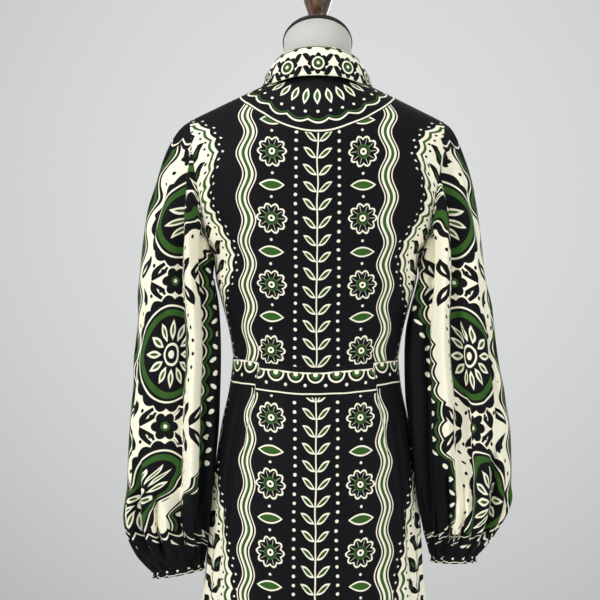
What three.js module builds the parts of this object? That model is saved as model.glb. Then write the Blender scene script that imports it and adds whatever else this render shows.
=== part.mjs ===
// A long sleeve maxi shirt dress hanging on a limbless dress form, at its real size.
// Millimetres, +Z up. The dress shows its back towards -Y and its buttoned front towards +Y;
// the wearer's left is at -X. The origin is the middle of the stand's base, on the floor.
// Heights in the tables are above the waist seam, and the whole model is lifted by WAIST_HEIGHT.
import * as THREE from "three";

// Driving sizes
const WAIST_HEIGHT = 1040;
const CLOTH = 2;
const COLLAR_CLOTH = 1.6;
const SEAM_GAP = 0.3;
const SIDE_GAP = 0.4;
const SKIRT_LENGTH = 980;
const UNDERARM = 160;
const BACK_NECK = 420;
const FRONT_NECK = 350;
const NECK_POINT = { x: 68, height: 416 };
const SHOULDER_END = 190;
const BODY_POWER = 2.2;

// The shoulder line falls as a hyperbola: straight along the shoulder, rounded at the neck.
const SHOULDER_FALL = 0.491;
const SHOULDER_ROUND = 25;
const SHOULDER_TOP = NECK_POINT.height + SHOULDER_FALL * Math.hypot(NECK_POINT.x, SHOULDER_ROUND);
const SHOULDER_ROLL = 115;

// Half widths and depths of the dress, from the hem to the neck. Above the underarm the half
// width is that of the section the panels are cut from, which runs on past the armhole.
const bodySections = [
  { height: -980, halfWidth: 252, back: 188, front: 186 },
  { height: -700, halfWidth: 213, back: 160, front: 157 },
  { height: -500, halfWidth: 184, back: 140, front: 136 },
  { height: -355, halfWidth: 163, back: 127, front: 122 },
  { height: -200, halfWidth: 153, back: 120, front: 113 },
  { height: -100, halfWidth: 141, back: 108, front: 101 },
  { height: -45, halfWidth: 129, back: 99, front: 94 },
  { height: 0, halfWidth: 124.5, back: 95, front: 92 },
  { height: 45, halfWidth: 131, back: 98, front: 98 },
  { height: 85, halfWidth: 141, back: 102, front: 106 },
  { height: 120, halfWidth: 150, back: 106, front: 115 },
  { height: 160, halfWidth: 155, back: 109, front: 121 },
  { height: 180, halfWidth: 168, back: 110, front: 120 },
  { height: 225, halfWidth: 192, back: 110, front: 112 },
  { height: 270, halfWidth: 206, back: 108, front: 100 },
  { height: 315, halfWidth: 212, back: 104, front: 84 },
  { height: 360, halfWidth: 215, back: 98, front: 70 },
  { height: 440, halfWidth: 215, back: 90, front: 60 },
];

// The armhole seam's distance from the centre line, on the back and on the front.
const armholes = [
  { height: 160, back: 155, front: 155 },
  { height: 180, back: 162, front: 160 },
  { height: 225, back: 170, front: 164 },
  { height: 270, back: 178, front: 170 },
  { height: 315, back: 185, front: 180 },
  { height: 358, back: SHOULDER_END, front: SHOULDER_END },
];

// Folds of the skirt: angle round the body from the centre back (degrees, + towards the
// wearer's right), half the angle each spreads over, its depth at the hem and where it starts.
const skirtFolds = [
  { angle: -164, spread: 13, depth: 17, top: -300 },
  { angle: -138, spread: 15, depth: 22, top: -160 },
  { angle: -112, spread: 13, depth: 18, top: -90 },
  { angle: -87, spread: 12, depth: 20, top: -60 },
  { angle: -62, spread: 14, depth: 19, top: -150 },
  { angle: -36, spread: 13, depth: 15, top: -380 },
  { angle: -11, spread: 12, depth: 12, top: -520 },
  { angle: 17, spread: 14, depth: 14, top: -470 },
  { angle: 43, spread: 13, depth: 17, top: -330 },
  { angle: 66, spread: 12, depth: 20, top: -140 },
  { angle: 90, spread: 13, depth: 19, top: -60 },
  { angle: 115, spread: 14, depth: 21, top: -110 },
  { angle: 141, spread: 13, depth: 17, top: -190 },
  { angle: 166, spread: 12, depth: 16, top: -320 },
];

// Rings of the sleeve from under the arm to the cuff; drop is how much lower the outer side is.
const sleeveRings = [
  { down: 0.0, height: 120, centre: 204, halfWidth: 55.5, halfDepth: 52, shift: -8, drop: 0 },
  { down: 0.12, height: 60, centre: 204, halfWidth: 61, halfDepth: 50, shift: -12, drop: 0 },
  { down: 0.24, height: 5, centre: 206, halfWidth: 65, halfDepth: 48, shift: -15, drop: 0 },
  { down: 0.38, height: -60, centre: 212, halfWidth: 70, halfDepth: 48, shift: -19, drop: 0 },
  { down: 0.6, height: -165, centre: 216, halfWidth: 71.5, halfDepth: 50, shift: -23, drop: 0 },
  { down: 0.7, height: -212, centre: 217, halfWidth: 69, halfDepth: 50, shift: -23, drop: 2 },
  { down: 0.8, height: -250, centre: 215, halfWidth: 64.5, halfDepth: 47, shift: -21, drop: 4 },
  { down: 0.9, height: -281, centre: 208.5, halfWidth: 55, halfDepth: 40, shift: -19, drop: 7 },
  { down: 0.96, height: -297, centre: 203, halfWidth: 46.5, halfDepth: 33, shift: -17, drop: 8 },
  { down: 1.0, height: -304, centre: 200, halfWidth: 42, halfDepth: 27, shift: -16, drop: 8 },
];

// Long folds of the hanging sleeve: angle round the tube (0 outside, 90 back, 180 inside).
const sleeveFolds = [
  { angle: 62, spread: 24, depth: 6, top: 250, bottom: -290 },
  { angle: 98, spread: 15, depth: -13, top: 205, bottom: -265 },
  { angle: 122, spread: 17, depth: 7, top: 210, bottom: -280 },
  { angle: 149, spread: 14, depth: -9, top: 120, bottom: -270 },
  { angle: 213, spread: 15, depth: -8, top: 110, bottom: -270 },
  { angle: 246, spread: 18, depth: 8, top: 200, bottom: -280 },
  { angle: 274, spread: 16, depth: -12, top: 190, bottom: -255 },
  { angle: 305, spread: 22, depth: 6, top: 240, bottom: -290 },
];
const CUFF = { height: 13, flare: 1.5, gathers: 14, gatherDepth: 2.2 };
const SLEEVE_CAP = 0.26;
const SLEEVE_TO_BODY = 3.5;
const sleeves = [
  { name: "left", side: -1, lift: 0 },
  { name: "right", side: 1, lift: 24 },
];

// The collar from the centre back (0) to the centre front (1): its fold and its outer edge.
const collarRows = [
  { round: 0.0, foldX: 0, foldY: -55, foldZ: 462, edgeX: 0, edgeY: -63, edgeZ: 414 },
  { round: 0.16, foldX: 27, foldY: -49, foldZ: 460, edgeX: 33, edgeY: -58, edgeZ: 412 },
  { round: 0.33, foldX: 50, foldY: -29, foldZ: 454, edgeX: 66, edgeY: -38, edgeZ: 410 },
  { round: 0.5, foldX: 61, foldY: 4, foldZ: 446, edgeX: 83, edgeY: 4, edgeZ: 412 },
  { round: 0.66, foldX: 53, foldY: 37, foldZ: 427, edgeX: 84, edgeY: 40, edgeZ: 392 },
  { round: 0.83, foldX: 32, foldY: 61, foldZ: 400, edgeX: 72, edgeY: 70, edgeZ: 350 },
  { round: 1.0, foldX: 5, foldY: 72, foldZ: 380, edgeX: 50, edgeY: 92, edgeZ: 304 },
];
const COLLAR = { standBelowFold: 5, standTuck: 5, rollIn: 4.5, rollDown: 1.2, bulge: 3 };

// Front fastening
const PLACKET = { halfWidth: 15, cloth: 1.6, top: 346, bottom: -981 };
const BUTTON = { radius: 5.8, height: 2.6, stand: 0.8, first: 330, spacing: 88, count: 12, sides: 12 };

// The dress form and its stand
const FORM = {
  bottom: -235,
  ease: 5.5,
  shoulderGap: 5.4,
  armPlate: 160,
  neckHalfWidth: 50.8,
  neckBack: 45,
  neckFront: 53,
  neckTop: 478,
  neckTilt: THREE.MathUtils.degToRad(33),
};
const CAP = { radius: 52.4, height: 4.5 };
const POLE = { radius: 14, sides: 20 };
const BASE = { radius: 178, thickness: 10, bossRadius: 30, bossHeight: 36, sides: 40 };
const FINIAL_FOOT = 10.1;
const finialProfile = [
  { radius: 14, height: 0 },
  { radius: 14.5, height: 5 },
  { radius: 13, height: 10 },
  { radius: 12.6, height: 20 },
  { radius: 14.2, height: 31 },
  { radius: 17.6, height: 41 },
  { radius: 20.9, height: 51 },
  { radius: 23.6, height: 64 },
  { radius: 24.2, height: 75 },
  { radius: 22, height: 91 },
  { radius: 15, height: 106 },
  { radius: 8, height: 113 },
  { radius: 0, height: 116 },
];

// How finely each wall is divided
const GRID = {
  bodiceLow: 5,
  bodiceHigh: 14,
  bodiceAcross: 24,
  skirtDown: 12,
  skirtAcross: 28,
  sleeveCap: 5,
  sleeveDown: 13,
  collarRound: 32,
  formRound: 32,
};
const LOW_SHARE = 0.25;
const TOP_NECK_SHARE = 5 / 12;

const BACK = { sign: -1, depth: "back" };
const FRONT = { sign: 1, depth: "front" };

const cottonPrint = new THREE.MeshStandardMaterial({ color: 0x1a1b20, roughness: 0.85 });
const sleevePrint = new THREE.MeshStandardMaterial({ color: 0xe6dfc0, roughness: 0.85 });
const formCover = new THREE.MeshStandardMaterial({ color: 0xd9d8d4, roughness: 0.9 });
const turnedWood = new THREE.MeshStandardMaterial({ color: 0x5a3020, roughness: 0.3 });
const darkMetal = new THREE.MeshStandardMaterial({ color: 0x2b2b2c, roughness: 0.4, metalness: 0.9 });
const buttonHorn = new THREE.MeshStandardMaterial({ color: 0x20201e, roughness: 0.35 });

// Reads one column of a table as a smooth curve through its rows.
function tableValue(rows, key, name, at) {
  const last = rows.length - 1;
  if (at <= rows[0][key]) return rows[0][name];
  if (at >= rows[last][key]) return rows[last][name];
  let i = 0;
  while (rows[i + 1][key] < at) i += 1;
  const slope = (j) => {
    const a = rows[Math.max(j - 1, 0)];
    const b = rows[Math.min(j + 1, last)];
    return (b[name] - a[name]) / (b[key] - a[key]);
  };
  const span = rows[i + 1][key] - rows[i][key];
  const t = (at - rows[i][key]) / span;
  const rise = t * t * (3 - 2 * t);
  const leave = t * (1 - t) * (1 - t) * span * slope(i);
  const arrive = t * t * (t - 1) * span * slope(i + 1);
  return rows[i][name] + (rows[i + 1][name] - rows[i][name]) * rise + leave + arrive;
}

const smoothStep = (x) => {
  const t = Math.min(Math.max(x, 0), 1);
  return t * t * (3 - 2 * t);
};
const mix = (a, b, t) => a + (b - a) * t;
const foldShape = (x) => (Math.abs(x) < 1 ? Math.cos((x * Math.PI) / 2) ** 2 : 0);
const shoulderLine = (x) => SHOULDER_TOP - SHOULDER_FALL * Math.hypot(x, SHOULDER_ROUND);
const shoulderReach = (height) =>
  Math.sqrt(Math.max(((SHOULDER_TOP - height) / SHOULDER_FALL) ** 2 - SHOULDER_ROUND ** 2, 0));

// Half depth of the body section at x, for a half width and a depth.
function sectionDepth(x, halfWidth, depth) {
  const share = Math.min(Math.abs(x) / halfWidth, 1);
  return depth * (1 - share ** BODY_POWER) ** (1 / BODY_POWER);
}

// How far the shoulder's roll has come down below the shoulder line, 0 to 1.
function rollShare(drop) {
  const u = Math.min(Math.max(drop / SHOULDER_ROLL, 0), 1);
  return Math.sqrt(1 - (1 - u) ** 2);
}

// Depth of the dress at x and a height, less an ease all round.
function bodyDepth(face, x, height, ease = 0, belowShoulder = 0) {
  const halfWidth = tableValue(bodySections, "height", "halfWidth", height) - ease;
  const depth = tableValue(bodySections, "height", face.depth, height) - ease;
  return sectionDepth(x, halfWidth, depth) * rollShare(shoulderLine(x) - belowShoulder - height);
}

// A point of the body section at an angle share: 0 in the middle of the face, 1 at the side.
function sectionPoint(face, across, height) {
  const angle = (Math.abs(across) * Math.PI) / 2;
  const power = 2 / BODY_POWER;
  const halfWidth = tableValue(bodySections, "height", "halfWidth", height);
  const depth = tableValue(bodySections, "height", face.depth, height);
  const x = halfWidth * Math.sin(angle) ** power * Math.sign(across);
  const y = face.sign * depth * Math.max(Math.cos(angle), 0) ** power;
  return new THREE.Vector3(x, y, height);
}

// The neckline and shoulder seam that end a bodice panel at the top.
function bodiceTop(face, across) {
  const s = Math.abs(across);
  if (s >= TOP_NECK_SHARE) {
    const t = (s - TOP_NECK_SHARE) / (1 - TOP_NECK_SHARE);
    const x = mix(NECK_POINT.x, SHOULDER_END, t);
    return { x, height: shoulderLine(x) };
  }
  const x = NECK_POINT.x * Math.sin((Math.PI * s) / (2 * TOP_NECK_SHARE));
  const middle = face === BACK ? BACK_NECK : FRONT_NECK;
  const curve = face === BACK ? 2 : 2.3;
  return { x, height: mix(middle, NECK_POINT.height, (x / NECK_POINT.x) ** curve) };
}

// A point of a bodice panel: across -1 to 1 between the side seams or armholes, up 0 to 1.
function bodicePoint(face, across, up) {
  if (up <= LOW_SHARE) return sectionPoint(face, across, (UNDERARM * up) / LOW_SHARE);
  const rise = (1 - Math.cos((Math.PI * (up - LOW_SHARE)) / (1 - LOW_SHARE))) / 2;
  const top = bodiceTop(face, across);
  const edgeHeight = mix(UNDERARM, shoulderLine(SHOULDER_END), rise);
  const edge = tableValue(armholes, "height", face.depth, edgeHeight);
  const roundShare = Math.sin((Math.abs(across) * Math.PI) / 2) ** (2 / BODY_POWER);
  const x = edge * mix(roundShare, top.x / SHOULDER_END, rise);
  const height = mix(UNDERARM, top.height, rise);
  const y = face.sign * bodyDepth(face, x, height);
  return new THREE.Vector3(x * Math.sign(across), y, height);
}

// How far the skirt's folds stand out at an angle from the centre back.
function skirtFold(angle, height) {
  let out = 0;
  for (const fold of skirtFolds) {
    const turn = ((angle - fold.angle + 540) % 360) - 180;
    const grown = smoothStep((fold.top - height) / (fold.top + SKIRT_LENGTH));
    out += fold.depth * grown * foldShape(turn / fold.spread);
  }
  return out;
}

// A point of a skirt panel: across -1 to 1 between the side seams, down 0 to 1.
function skirtPoint(face, across, down) {
  const height = -SKIRT_LENGTH * down;
  const point = sectionPoint(face, across, height);
  const degrees = 90 * across;
  const angle = face === BACK ? degrees : 180 - degrees;
  const halfWidth = tableValue(bodySections, "height", "halfWidth", height);
  const depth = tableValue(bodySections, "height", face.depth, height);
  const away = new THREE.Vector3(point.x / halfWidth ** 2, point.y / depth ** 2, 0).normalize();
  return point.addScaledVector(away, skirtFold(angle, height));
}

// Outward normal of a surface given as a function of two shares.
function surfaceNormal(pointAt, u, v, outward) {
  const step = 0.002;
  const low = (t) => Math.max(t - step, 0);
  const high = (t) => Math.min(t + step, 1);
  const du = pointAt(high(u), v).sub(pointAt(low(u), v));
  const dv = pointAt(u, high(v)).sub(pointAt(u, low(v)));
  const normal = du.cross(dv).normalize();
  return normal.dot(outward(pointAt(u, v))) < 0 ? normal.negate() : normal;
}

const fromAxis = (p) => new THREE.Vector3(p.x, p.y, 0).add(new THREE.Vector3(0, 0, Math.max(p.z - 300, 0)));

// A closed body from an outer and an inner grid of points, rows by columns.
function wallGeometry(outer, inner, round) {
  const rows = outer.length;
  const columns = outer[0].length;
  const positions = [...outer.flat(), ...inner.flat()].flatMap((p) => [p.x, p.y, p.z]);
  const index = [];
  const out = (i, j) => i * columns + (j % columns);
  const back = (i, j) => rows * columns + out(i, j);
  const quad = (a, b, c, d) => index.push(a, b, c, a, c, d);
  const spans = round ? columns : columns - 1;
  for (let j = 0; j < spans; j += 1) {
    for (let i = 0; i < rows - 1; i += 1) {
      quad(out(i, j), out(i, j + 1), out(i + 1, j + 1), out(i + 1, j));
      quad(back(i, j), back(i + 1, j), back(i + 1, j + 1), back(i, j + 1));
    }
    quad(out(0, j), back(0, j), back(0, j + 1), out(0, j + 1));
    quad(out(rows - 1, j), out(rows - 1, j + 1), back(rows - 1, j + 1), back(rows - 1, j));
  }
  if (!round) {
    const end = columns - 1;
    for (let i = 0; i < rows - 1; i += 1) {
      quad(out(i, 0), out(i + 1, 0), back(i + 1, 0), back(i, 0));
      quad(out(i, end), back(i, end), back(i + 1, end), out(i + 1, end));
    }
  }
  return facingOut(positions, index);
}

// A geometry from positions and triangles, turned so that its faces point out.
function facingOut(positions, index) {
  const corner = (k) => new THREE.Vector3().fromArray(positions, 3 * index[k]);
  let volume = 0;
  for (let k = 0; k < index.length; k += 3) {
    volume += corner(k).dot(corner(k + 1).cross(corner(k + 2)));
  }
  if (volume < 0) {
    for (let k = 0; k < index.length; k += 3) {
      [index[k + 1], index[k + 2]] = [index[k + 2], index[k + 1]];
    }
  }
  const geometry = new THREE.BufferGeometry();
  geometry.setAttribute("position", new THREE.Float32BufferAttribute(positions, 3));
  geometry.setIndex(index);
  geometry.computeVertexNormals();
  return geometry;
}

// A closed body through rings of points, its two ends closed with a fan.
function solidGeometry(rings) {
  const columns = rings[0].length;
  const ends = [rings[0], rings[rings.length - 1]].map((ring) =>
    ring.reduce((sum, p) => sum.add(p), new THREE.Vector3()).divideScalar(columns),
  );
  const positions = [...rings.flat(), ...ends].flatMap((p) => [p.x, p.y, p.z]);
  const index = [];
  const at = (i, j) => i * columns + (j % columns);
  const lastRing = rings.length - 1;
  const foot = rings.length * columns;
  for (let j = 0; j < columns; j += 1) {
    for (let i = 0; i < lastRing; i += 1) {
      index.push(at(i, j), at(i, j + 1), at(i + 1, j + 1), at(i, j), at(i + 1, j + 1), at(i + 1, j));
    }
    index.push(foot, at(0, j + 1), at(0, j), foot + 1, at(lastRing, j), at(lastRing, j + 1));
  }
  return facingOut(positions, index);
}

const dress = new THREE.Group();
dress.position.z = WAIST_HEIGHT;

function add(name, geometry, material) {
  const mesh = new THREE.Mesh(geometry, material);
  mesh.name = name;
  dress.add(mesh);
  return mesh;
}

const evenly = (count, from = 0, to = 1) =>
  Array.from({ length: count + 1 }, (_, i) => mix(from, to, i / count));

// A panel cut out of a surface between two shares across, as a wall of cloth.
function panelWall(surface, rows, columns, cloth, lift = 0) {
  const outer = [];
  const inner = [];
  for (const v of rows) {
    const points = columns.map((u) => surface(u, v));
    const normals = columns.map((u) => surfaceNormal(surface, u, v, fromAxis));
    outer.push(points.map((p, j) => p.clone().addScaledVector(normals[j], lift)));
    inner.push(points.map((p, j) => p.clone().addScaledVector(normals[j], lift - cloth)));
  }
  return wallGeometry(outer, inner, false);
}

const bodiceRows = [
  ...evenly(GRID.bodiceLow, (LOW_SHARE * SEAM_GAP) / UNDERARM, LOW_SHARE),
  ...evenly(GRID.bodiceHigh, LOW_SHARE, 1).slice(1),
];
const skirtRows = evenly(GRID.skirtDown);

// Moves the panel's last points back from the seam that they meet.
function seamed(surface, gapSide, gapMiddle) {
  return (u, v) => {
    const p = surface(u, v);
    if (gapSide && Math.abs(p.y) < SIDE_GAP / 2) p.y = (Math.sign(gapSide) * SIDE_GAP) / 2;
    if (gapMiddle && Math.abs(p.x) < SEAM_GAP / 2) p.x = (Math.sign(gapMiddle) * SEAM_GAP) / 2;
    return p;
  };
}

function makeBodice() {
  const across = evenly(GRID.bodiceAcross, -1, 1);
  const back = (u, v) => bodicePoint(BACK, 2 * u - 1, v);
  const backShares = across.map((s) => (s + 1) / 2);
  add("bodice_back", panelWall(seamed(back, -1, 0), bodiceRows, backShares, CLOTH), cottonPrint);
  for (const [name, side] of [["bodice_front_left", -1], ["bodice_front_right", 1]]) {
    const front = (u, v) => bodicePoint(FRONT, side * Math.max(u, 1e-6), v);
    const shares = evenly(GRID.bodiceAcross / 2);
    add(name, panelWall(seamed(front, 1, side), bodiceRows, shares, CLOTH), cottonPrint);
  }
}

function makeSkirt() {
  const back = (u, v) => skirtPoint(BACK, 2 * u - 1, v);
  const backShares = evenly(GRID.skirtAcross);
  add("skirt_back", panelWall(seamed(back, -1, 0), skirtRows, backShares, CLOTH), cottonPrint);
  for (const [name, side] of [["skirt_front_left", -1], ["skirt_front_right", 1]]) {
    const front = (u, v) => skirtPoint(FRONT, side * Math.max(u, 1e-6), v);
    const shares = evenly(GRID.skirtAcross / 2);
    add(name, panelWall(seamed(front, 1, side), skirtRows, shares, CLOTH), cottonPrint);
  }
}

// The armhole seam as a loop on the wearer's right: 0 at the shoulder, 90 degrees at the back,
// 180 at the underarm and 270 at the front.
function armholePoint(degrees) {
  const turn = ((degrees % 360) + 360) % 360;
  const face = turn <= 180 ? BACK : FRONT;
  const share = turn <= 180 ? 1 - turn / 180 : turn / 180 - 1;
  return bodicePoint(face, 1, mix(LOW_SHARE, 1, share));
}

function armholeFrame(degrees) {
  const turn = ((degrees % 360) + 360) % 360;
  const face = turn <= 180 ? BACK : FRONT;
  const share = mix(LOW_SHARE, 1, turn <= 180 ? 1 - turn / 180 : turn / 180 - 1);
  const normal = surfaceNormal((u, v) => bodicePoint(face, u, v), 1, share, fromAxis);
  if (turn === 180) normal.set(1, 0, 0);
  const along = armholePoint(degrees - 1).sub(armholePoint(degrees + 1)).normalize();
  const beyond = along.clone().cross(normal).normalize();
  return { normal, beyond };
}

// A ring point of the sleeve below the underarm, on the wearer's right.
function sleeveRing(degrees, down, lift) {
  const angle = THREE.MathUtils.degToRad(degrees);
  const read = (name) => tableValue(sleeveRings, "down", name, down);
  const height = read("height") + lift * smoothStep(down);
  let wide = read("halfWidth");
  let deep = read("halfDepth");
  let out = 0;
  for (const fold of sleeveFolds) {
    const turn = ((degrees - fold.angle + 540) % 360) - 180;
    const starts = smoothStep((fold.top - height) / 120);
    const ends = smoothStep((height - fold.bottom) / 70);
    out += fold.depth * starts * ends * foldShape(turn / fold.spread);
  }
  out += CUFF.gatherDepth * smoothStep((down - 0.7) / 0.25) * Math.cos(CUFF.gathers * angle);
  wide += out;
  deep += out;
  const x = read("centre") + wide * Math.cos(angle);
  const y = read("shift") - deep * Math.sin(angle);
  const clear = SLEEVE_TO_BODY + skirtFold(90, height);
  const face = y < 0 ? BACK : FRONT;
  const bodyWide = tableValue(bodySections, "height", "halfWidth", Math.min(height, UNDERARM)) + clear;
  const bodyDeep = tableValue(bodySections, "height", face.depth, height) + clear;
  const share = Math.min(Math.abs(y) / bodyDeep, 1);
  const bodyEdge = bodyWide * (1 - share ** BODY_POWER) ** (1 / BODY_POWER);
  return new THREE.Vector3(Math.max(x, bodyEdge), y, height - read("drop") * Math.cos(angle));
}

// A point of the sleeve: degrees round the tube, down 0 at the armhole to 1 at the cuff.
function sleevePoint(degrees, down, lift) {
  if (down >= SLEEVE_CAP) return sleeveRing(degrees, (down - SLEEVE_CAP) / (1 - SLEEVE_CAP), lift);
  const { normal, beyond } = armholeFrame(degrees);
  const lean = sleeveLean(degrees);
  const past = Math.max(lean - Math.PI / 2, 0);
  const start = armholePoint(degrees)
    .addScaledVector(beyond, SEAM_GAP * Math.cos(past) * 1.4)
    .addScaledVector(normal, SEAM_GAP * Math.sin(past) * 1.5);
  const leave = beyond.clone().multiplyScalar(Math.cos(lean)).addScaledVector(normal, Math.sin(lean));
  leave.z -= 0.9 * Math.sin(THREE.MathUtils.degToRad(degrees)) ** 2;
  leave.normalize();
  const end = sleeveRing(degrees, 0, lift);
  const arrive = sleeveRing(degrees, 0.03, lift).sub(end).normalize();
  const reach = start.distanceTo(end);
  const t = down / SLEEVE_CAP;
  const rise = t * t * (3 - 2 * t);
  return start
    .multiplyScalar(1 - rise)
    .addScaledVector(end, rise)
    .addScaledVector(leave, t * (1 - t) * (1 - t) * reach * 0.78)
    .addScaledVector(arrive, t * t * (t - 1) * reach);
}

// How far the sleeve turns out of the bodice's surface at the seam: it runs on over the
// shoulder, and hangs beside the bodice under the arm.
function sleeveLean(degrees) {
  const under = (1 - Math.cos(THREE.MathUtils.degToRad(degrees))) / 2;
  return THREE.MathUtils.degToRad(mix(-8, 180, under ** 1.7));
}

function makeSleeves() {
  const columns = 2 * GRID.bodiceHigh;
  const angles = evenly(columns, 0, 360).slice(0, columns);
  const rows = [...evenly(GRID.sleeveCap, 0, SLEEVE_CAP), ...evenly(GRID.sleeveDown, SLEEVE_CAP, 1).slice(1)];
  for (const { name, side, lift } of sleeves) {
    const outer = [];
    const inner = [];
    for (const v of rows) {
      const centre = new THREE.Vector3();
      const ring = angles.map((a) => sleevePoint(a, v, lift));
      ring.forEach((p) => centre.addScaledVector(p, 1 / columns));
      outer.push(ring);
      inner.push(angles.map((a, j) => ring[j].clone().add(sleeveInward(a, v, lift, centre))));
    }
    const mirrored = [outer, inner].map((grid) =>
      grid.map((ring) => ring.map((p) => new THREE.Vector3(side * p.x, p.y, p.z))),
    );
    add(`sleeve_${name}`, wallGeometry(mirrored[0], mirrored[1], true), sleevePrint);
    makeCuff(name, side, outer[outer.length - 1]);
  }
}

// From an outer point of the sleeve to the inner point behind it.
function sleeveInward(degrees, down, lift, centre) {
  const step = 0.01;
  const round = sleevePoint(degrees + 3, down, lift).sub(sleevePoint(degrees - 3, down, lift));
  const along = sleevePoint(degrees, Math.min(down + step, 1), lift).sub(
    sleevePoint(degrees, Math.max(down - step, 0), lift),
  );
  const inward = round.cross(along).normalize();
  if (inward.dot(centre.clone().sub(sleevePoint(degrees, down, lift))) < 0) inward.negate();
  const { normal, beyond } = armholeFrame(degrees);
  const lean = Math.max(sleeveLean(degrees), 0);
  const mitre = normal.multiplyScalar(-Math.cos(lean)).addScaledVector(beyond, Math.sin(lean));
  const eased = smoothStep(down / (0.8 * SLEEVE_CAP));
  return mitre.multiplyScalar(1 - eased).addScaledVector(inward, eased).normalize().multiplyScalar(CLOTH);
}

// The gathered cuff: a short elastic band below the sleeve's last ring.
function makeCuff(name, side, sleeveEnd) {
  const centre = new THREE.Vector3();
  sleeveEnd.forEach((p) => centre.addScaledVector(p, 1 / sleeveEnd.length));
  const outer = [];
  const inner = [];
  for (const down of [0, 0.5, 1]) {
    const drop = SEAM_GAP + 0.2 + CUFF.height * down;
    const swell = CUFF.flare * (4 * (down - 0.5) ** 2 - 1);
    const place = (p, inset) => {
      const away = new THREE.Vector3(p.x - centre.x, p.y - centre.y, 0).normalize();
      return new THREE.Vector3(
        side * (p.x + away.x * (swell - inset)),
        p.y + away.y * (swell - inset),
        p.z - drop,
      );
    };
    outer.push(sleeveEnd.map((p) => place(p, 0)));
    inner.push(sleeveEnd.map((p) => place(p, CLOTH)));
  }
  add(`cuff_${name}`, wallGeometry(outer, inner, true), sleevePrint);
}

// The neckline from the centre back (0) over the neck point (0.5) to the centre front (1), on
// the straight edges between the panels' own points.
function neckline(round) {
  const s = Math.abs(round);
  const face = s <= 0.5 ? BACK : FRONT;
  const steps = (TOP_NECK_SHARE * GRID.bodiceAcross) / 2;
  const place = (s <= 0.5 ? 2 * s : 2 - 2 * s) * steps;
  const first = Math.min(Math.floor(place), steps - 1);
  const at = (i) => bodicePoint(face, Math.max((i * TOP_NECK_SHARE) / steps, 1e-6), 1);
  const p = at(first).lerp(at(first + 1), place - first);
  return new THREE.Vector3(Math.sign(round || 1) * p.x, p.y, p.z);
}

function collarPoint(round, part) {
  const read = (name) => tableValue(collarRows, "round", part + name, Math.abs(round));
  return new THREE.Vector3(Math.sign(round || 1) * read("X"), read("Y"), read("Z"));
}

const inwardAt = (p) => new THREE.Vector3(-p.x, -p.y + 4, 0).normalize();

// Lifts a point that would lie in the bodice until it is clear of it.
function clearOfBodice(p, clear) {
  const face = p.y < 4 ? BACK : FRONT;
  const halfWidth = tableValue(bodySections, "height", "halfWidth", p.z);
  const depth = sectionDepth(p.x, halfWidth, tableValue(bodySections, "height", face.depth, p.z));
  const share = Math.min(Math.abs(p.y) / depth, 1);
  const height = shoulderLine(p.x) - SHOULDER_ROLL * (1 - Math.sqrt(1 - share ** 2)) + clear * 1.3;
  const reach = depth * rollShare(shoulderLine(p.x) - p.z) + clear;
  if (p.z >= height || Math.abs(p.y) >= reach) return p;
  if (height - p.z < reach - Math.abs(p.y)) return new THREE.Vector3(p.x, p.y, height);
  return new THREE.Vector3(p.x, Math.sign(p.y) * reach, p.z);
}

function makeCollar() {
  const rounds = evenly(GRID.collarRound, -0.98, 0.98);
  const outerStand = [];
  const innerStand = [];
  for (const up of [0, 0.5, 1]) {
    const ring = rounds.map((q) => {
      const low = neckline(q);
      const foot = low.clone().addScaledVector(inwardAt(low), 0.9);
      foot.z += 0.6;
      const fold = collarPoint(q, "fold");
      const head = fold.clone().addScaledVector(inwardAt(fold), 1.2);
      head.z -= COLLAR.standBelowFold;
      return foot.lerp(head, up);
    });
    outerStand.push(ring);
    innerStand.push(ring.map((p) => p.clone().addScaledVector(inwardAt(p), COLLAR_CLOTH)));
  }
  add("collar_stand", wallGeometry(outerStand, innerStand, false), cottonPrint);

  const outerLeaf = [];
  const innerLeaf = [];
  for (const down of [-1, 0, 0.3, 0.65, 1]) {
    const outerRing = [];
    const innerRing = [];
    for (const q of rounds) {
      const fold = collarPoint(q, "fold");
      const away = inwardAt(fold).negate();
      const p = fold.clone();
      if (down < 0) {
        p.addScaledVector(away, -COLLAR.rollIn);
        p.z -= COLLAR.rollDown;
        outerRing.push(p);
        innerRing.push(new THREE.Vector3(p.x, p.y, p.z - COLLAR_CLOTH));
        continue;
      }
      p.lerp(collarPoint(q, "edge"), down);
      p.addScaledVector(away, COLLAR.bulge * Math.sin(Math.PI * down) + 2.2 * (1 - down));
      const placed = clearOfBodice(p, COLLAR_CLOTH + 0.9);
      outerRing.push(placed);
      const behind = placed.clone().addScaledVector(away, -COLLAR_CLOTH * 0.75);
      behind.z -= COLLAR_CLOTH * 0.66;
      innerRing.push(behind);
    }
    outerLeaf.push(outerRing);
    innerLeaf.push(innerRing);
  }
  add("collar_leaf", wallGeometry(outerLeaf, innerLeaf, false), sleevePrint);
}

// The panels' own rows at the centre front from the neck to the hem, each with its middle point,
// the way to the panel's next column and the outward normal.
function frontRows() {
  const bodice = (u, v) => bodicePoint(FRONT, Math.max(u, 1e-6), v);
  const skirt = (u, v) => skirtPoint(FRONT, Math.max(u, 1e-6), v);
  const rows = [
    ...bodiceRows.map((v) => [bodice, 2 / GRID.bodiceAcross, v]).reverse(),
    ...skirtRows.map((v) => [skirt, 2 / GRID.skirtAcross, v]),
  ];
  return rows.map(([surface, next, v]) => {
    const middle = surface(0, v);
    const normal = surfaceNormal(surface, 0, v, fromAxis).setX(0).normalize();
    return { middle, normal, aside: surface(next, v).sub(middle) };
  });
}

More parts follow.
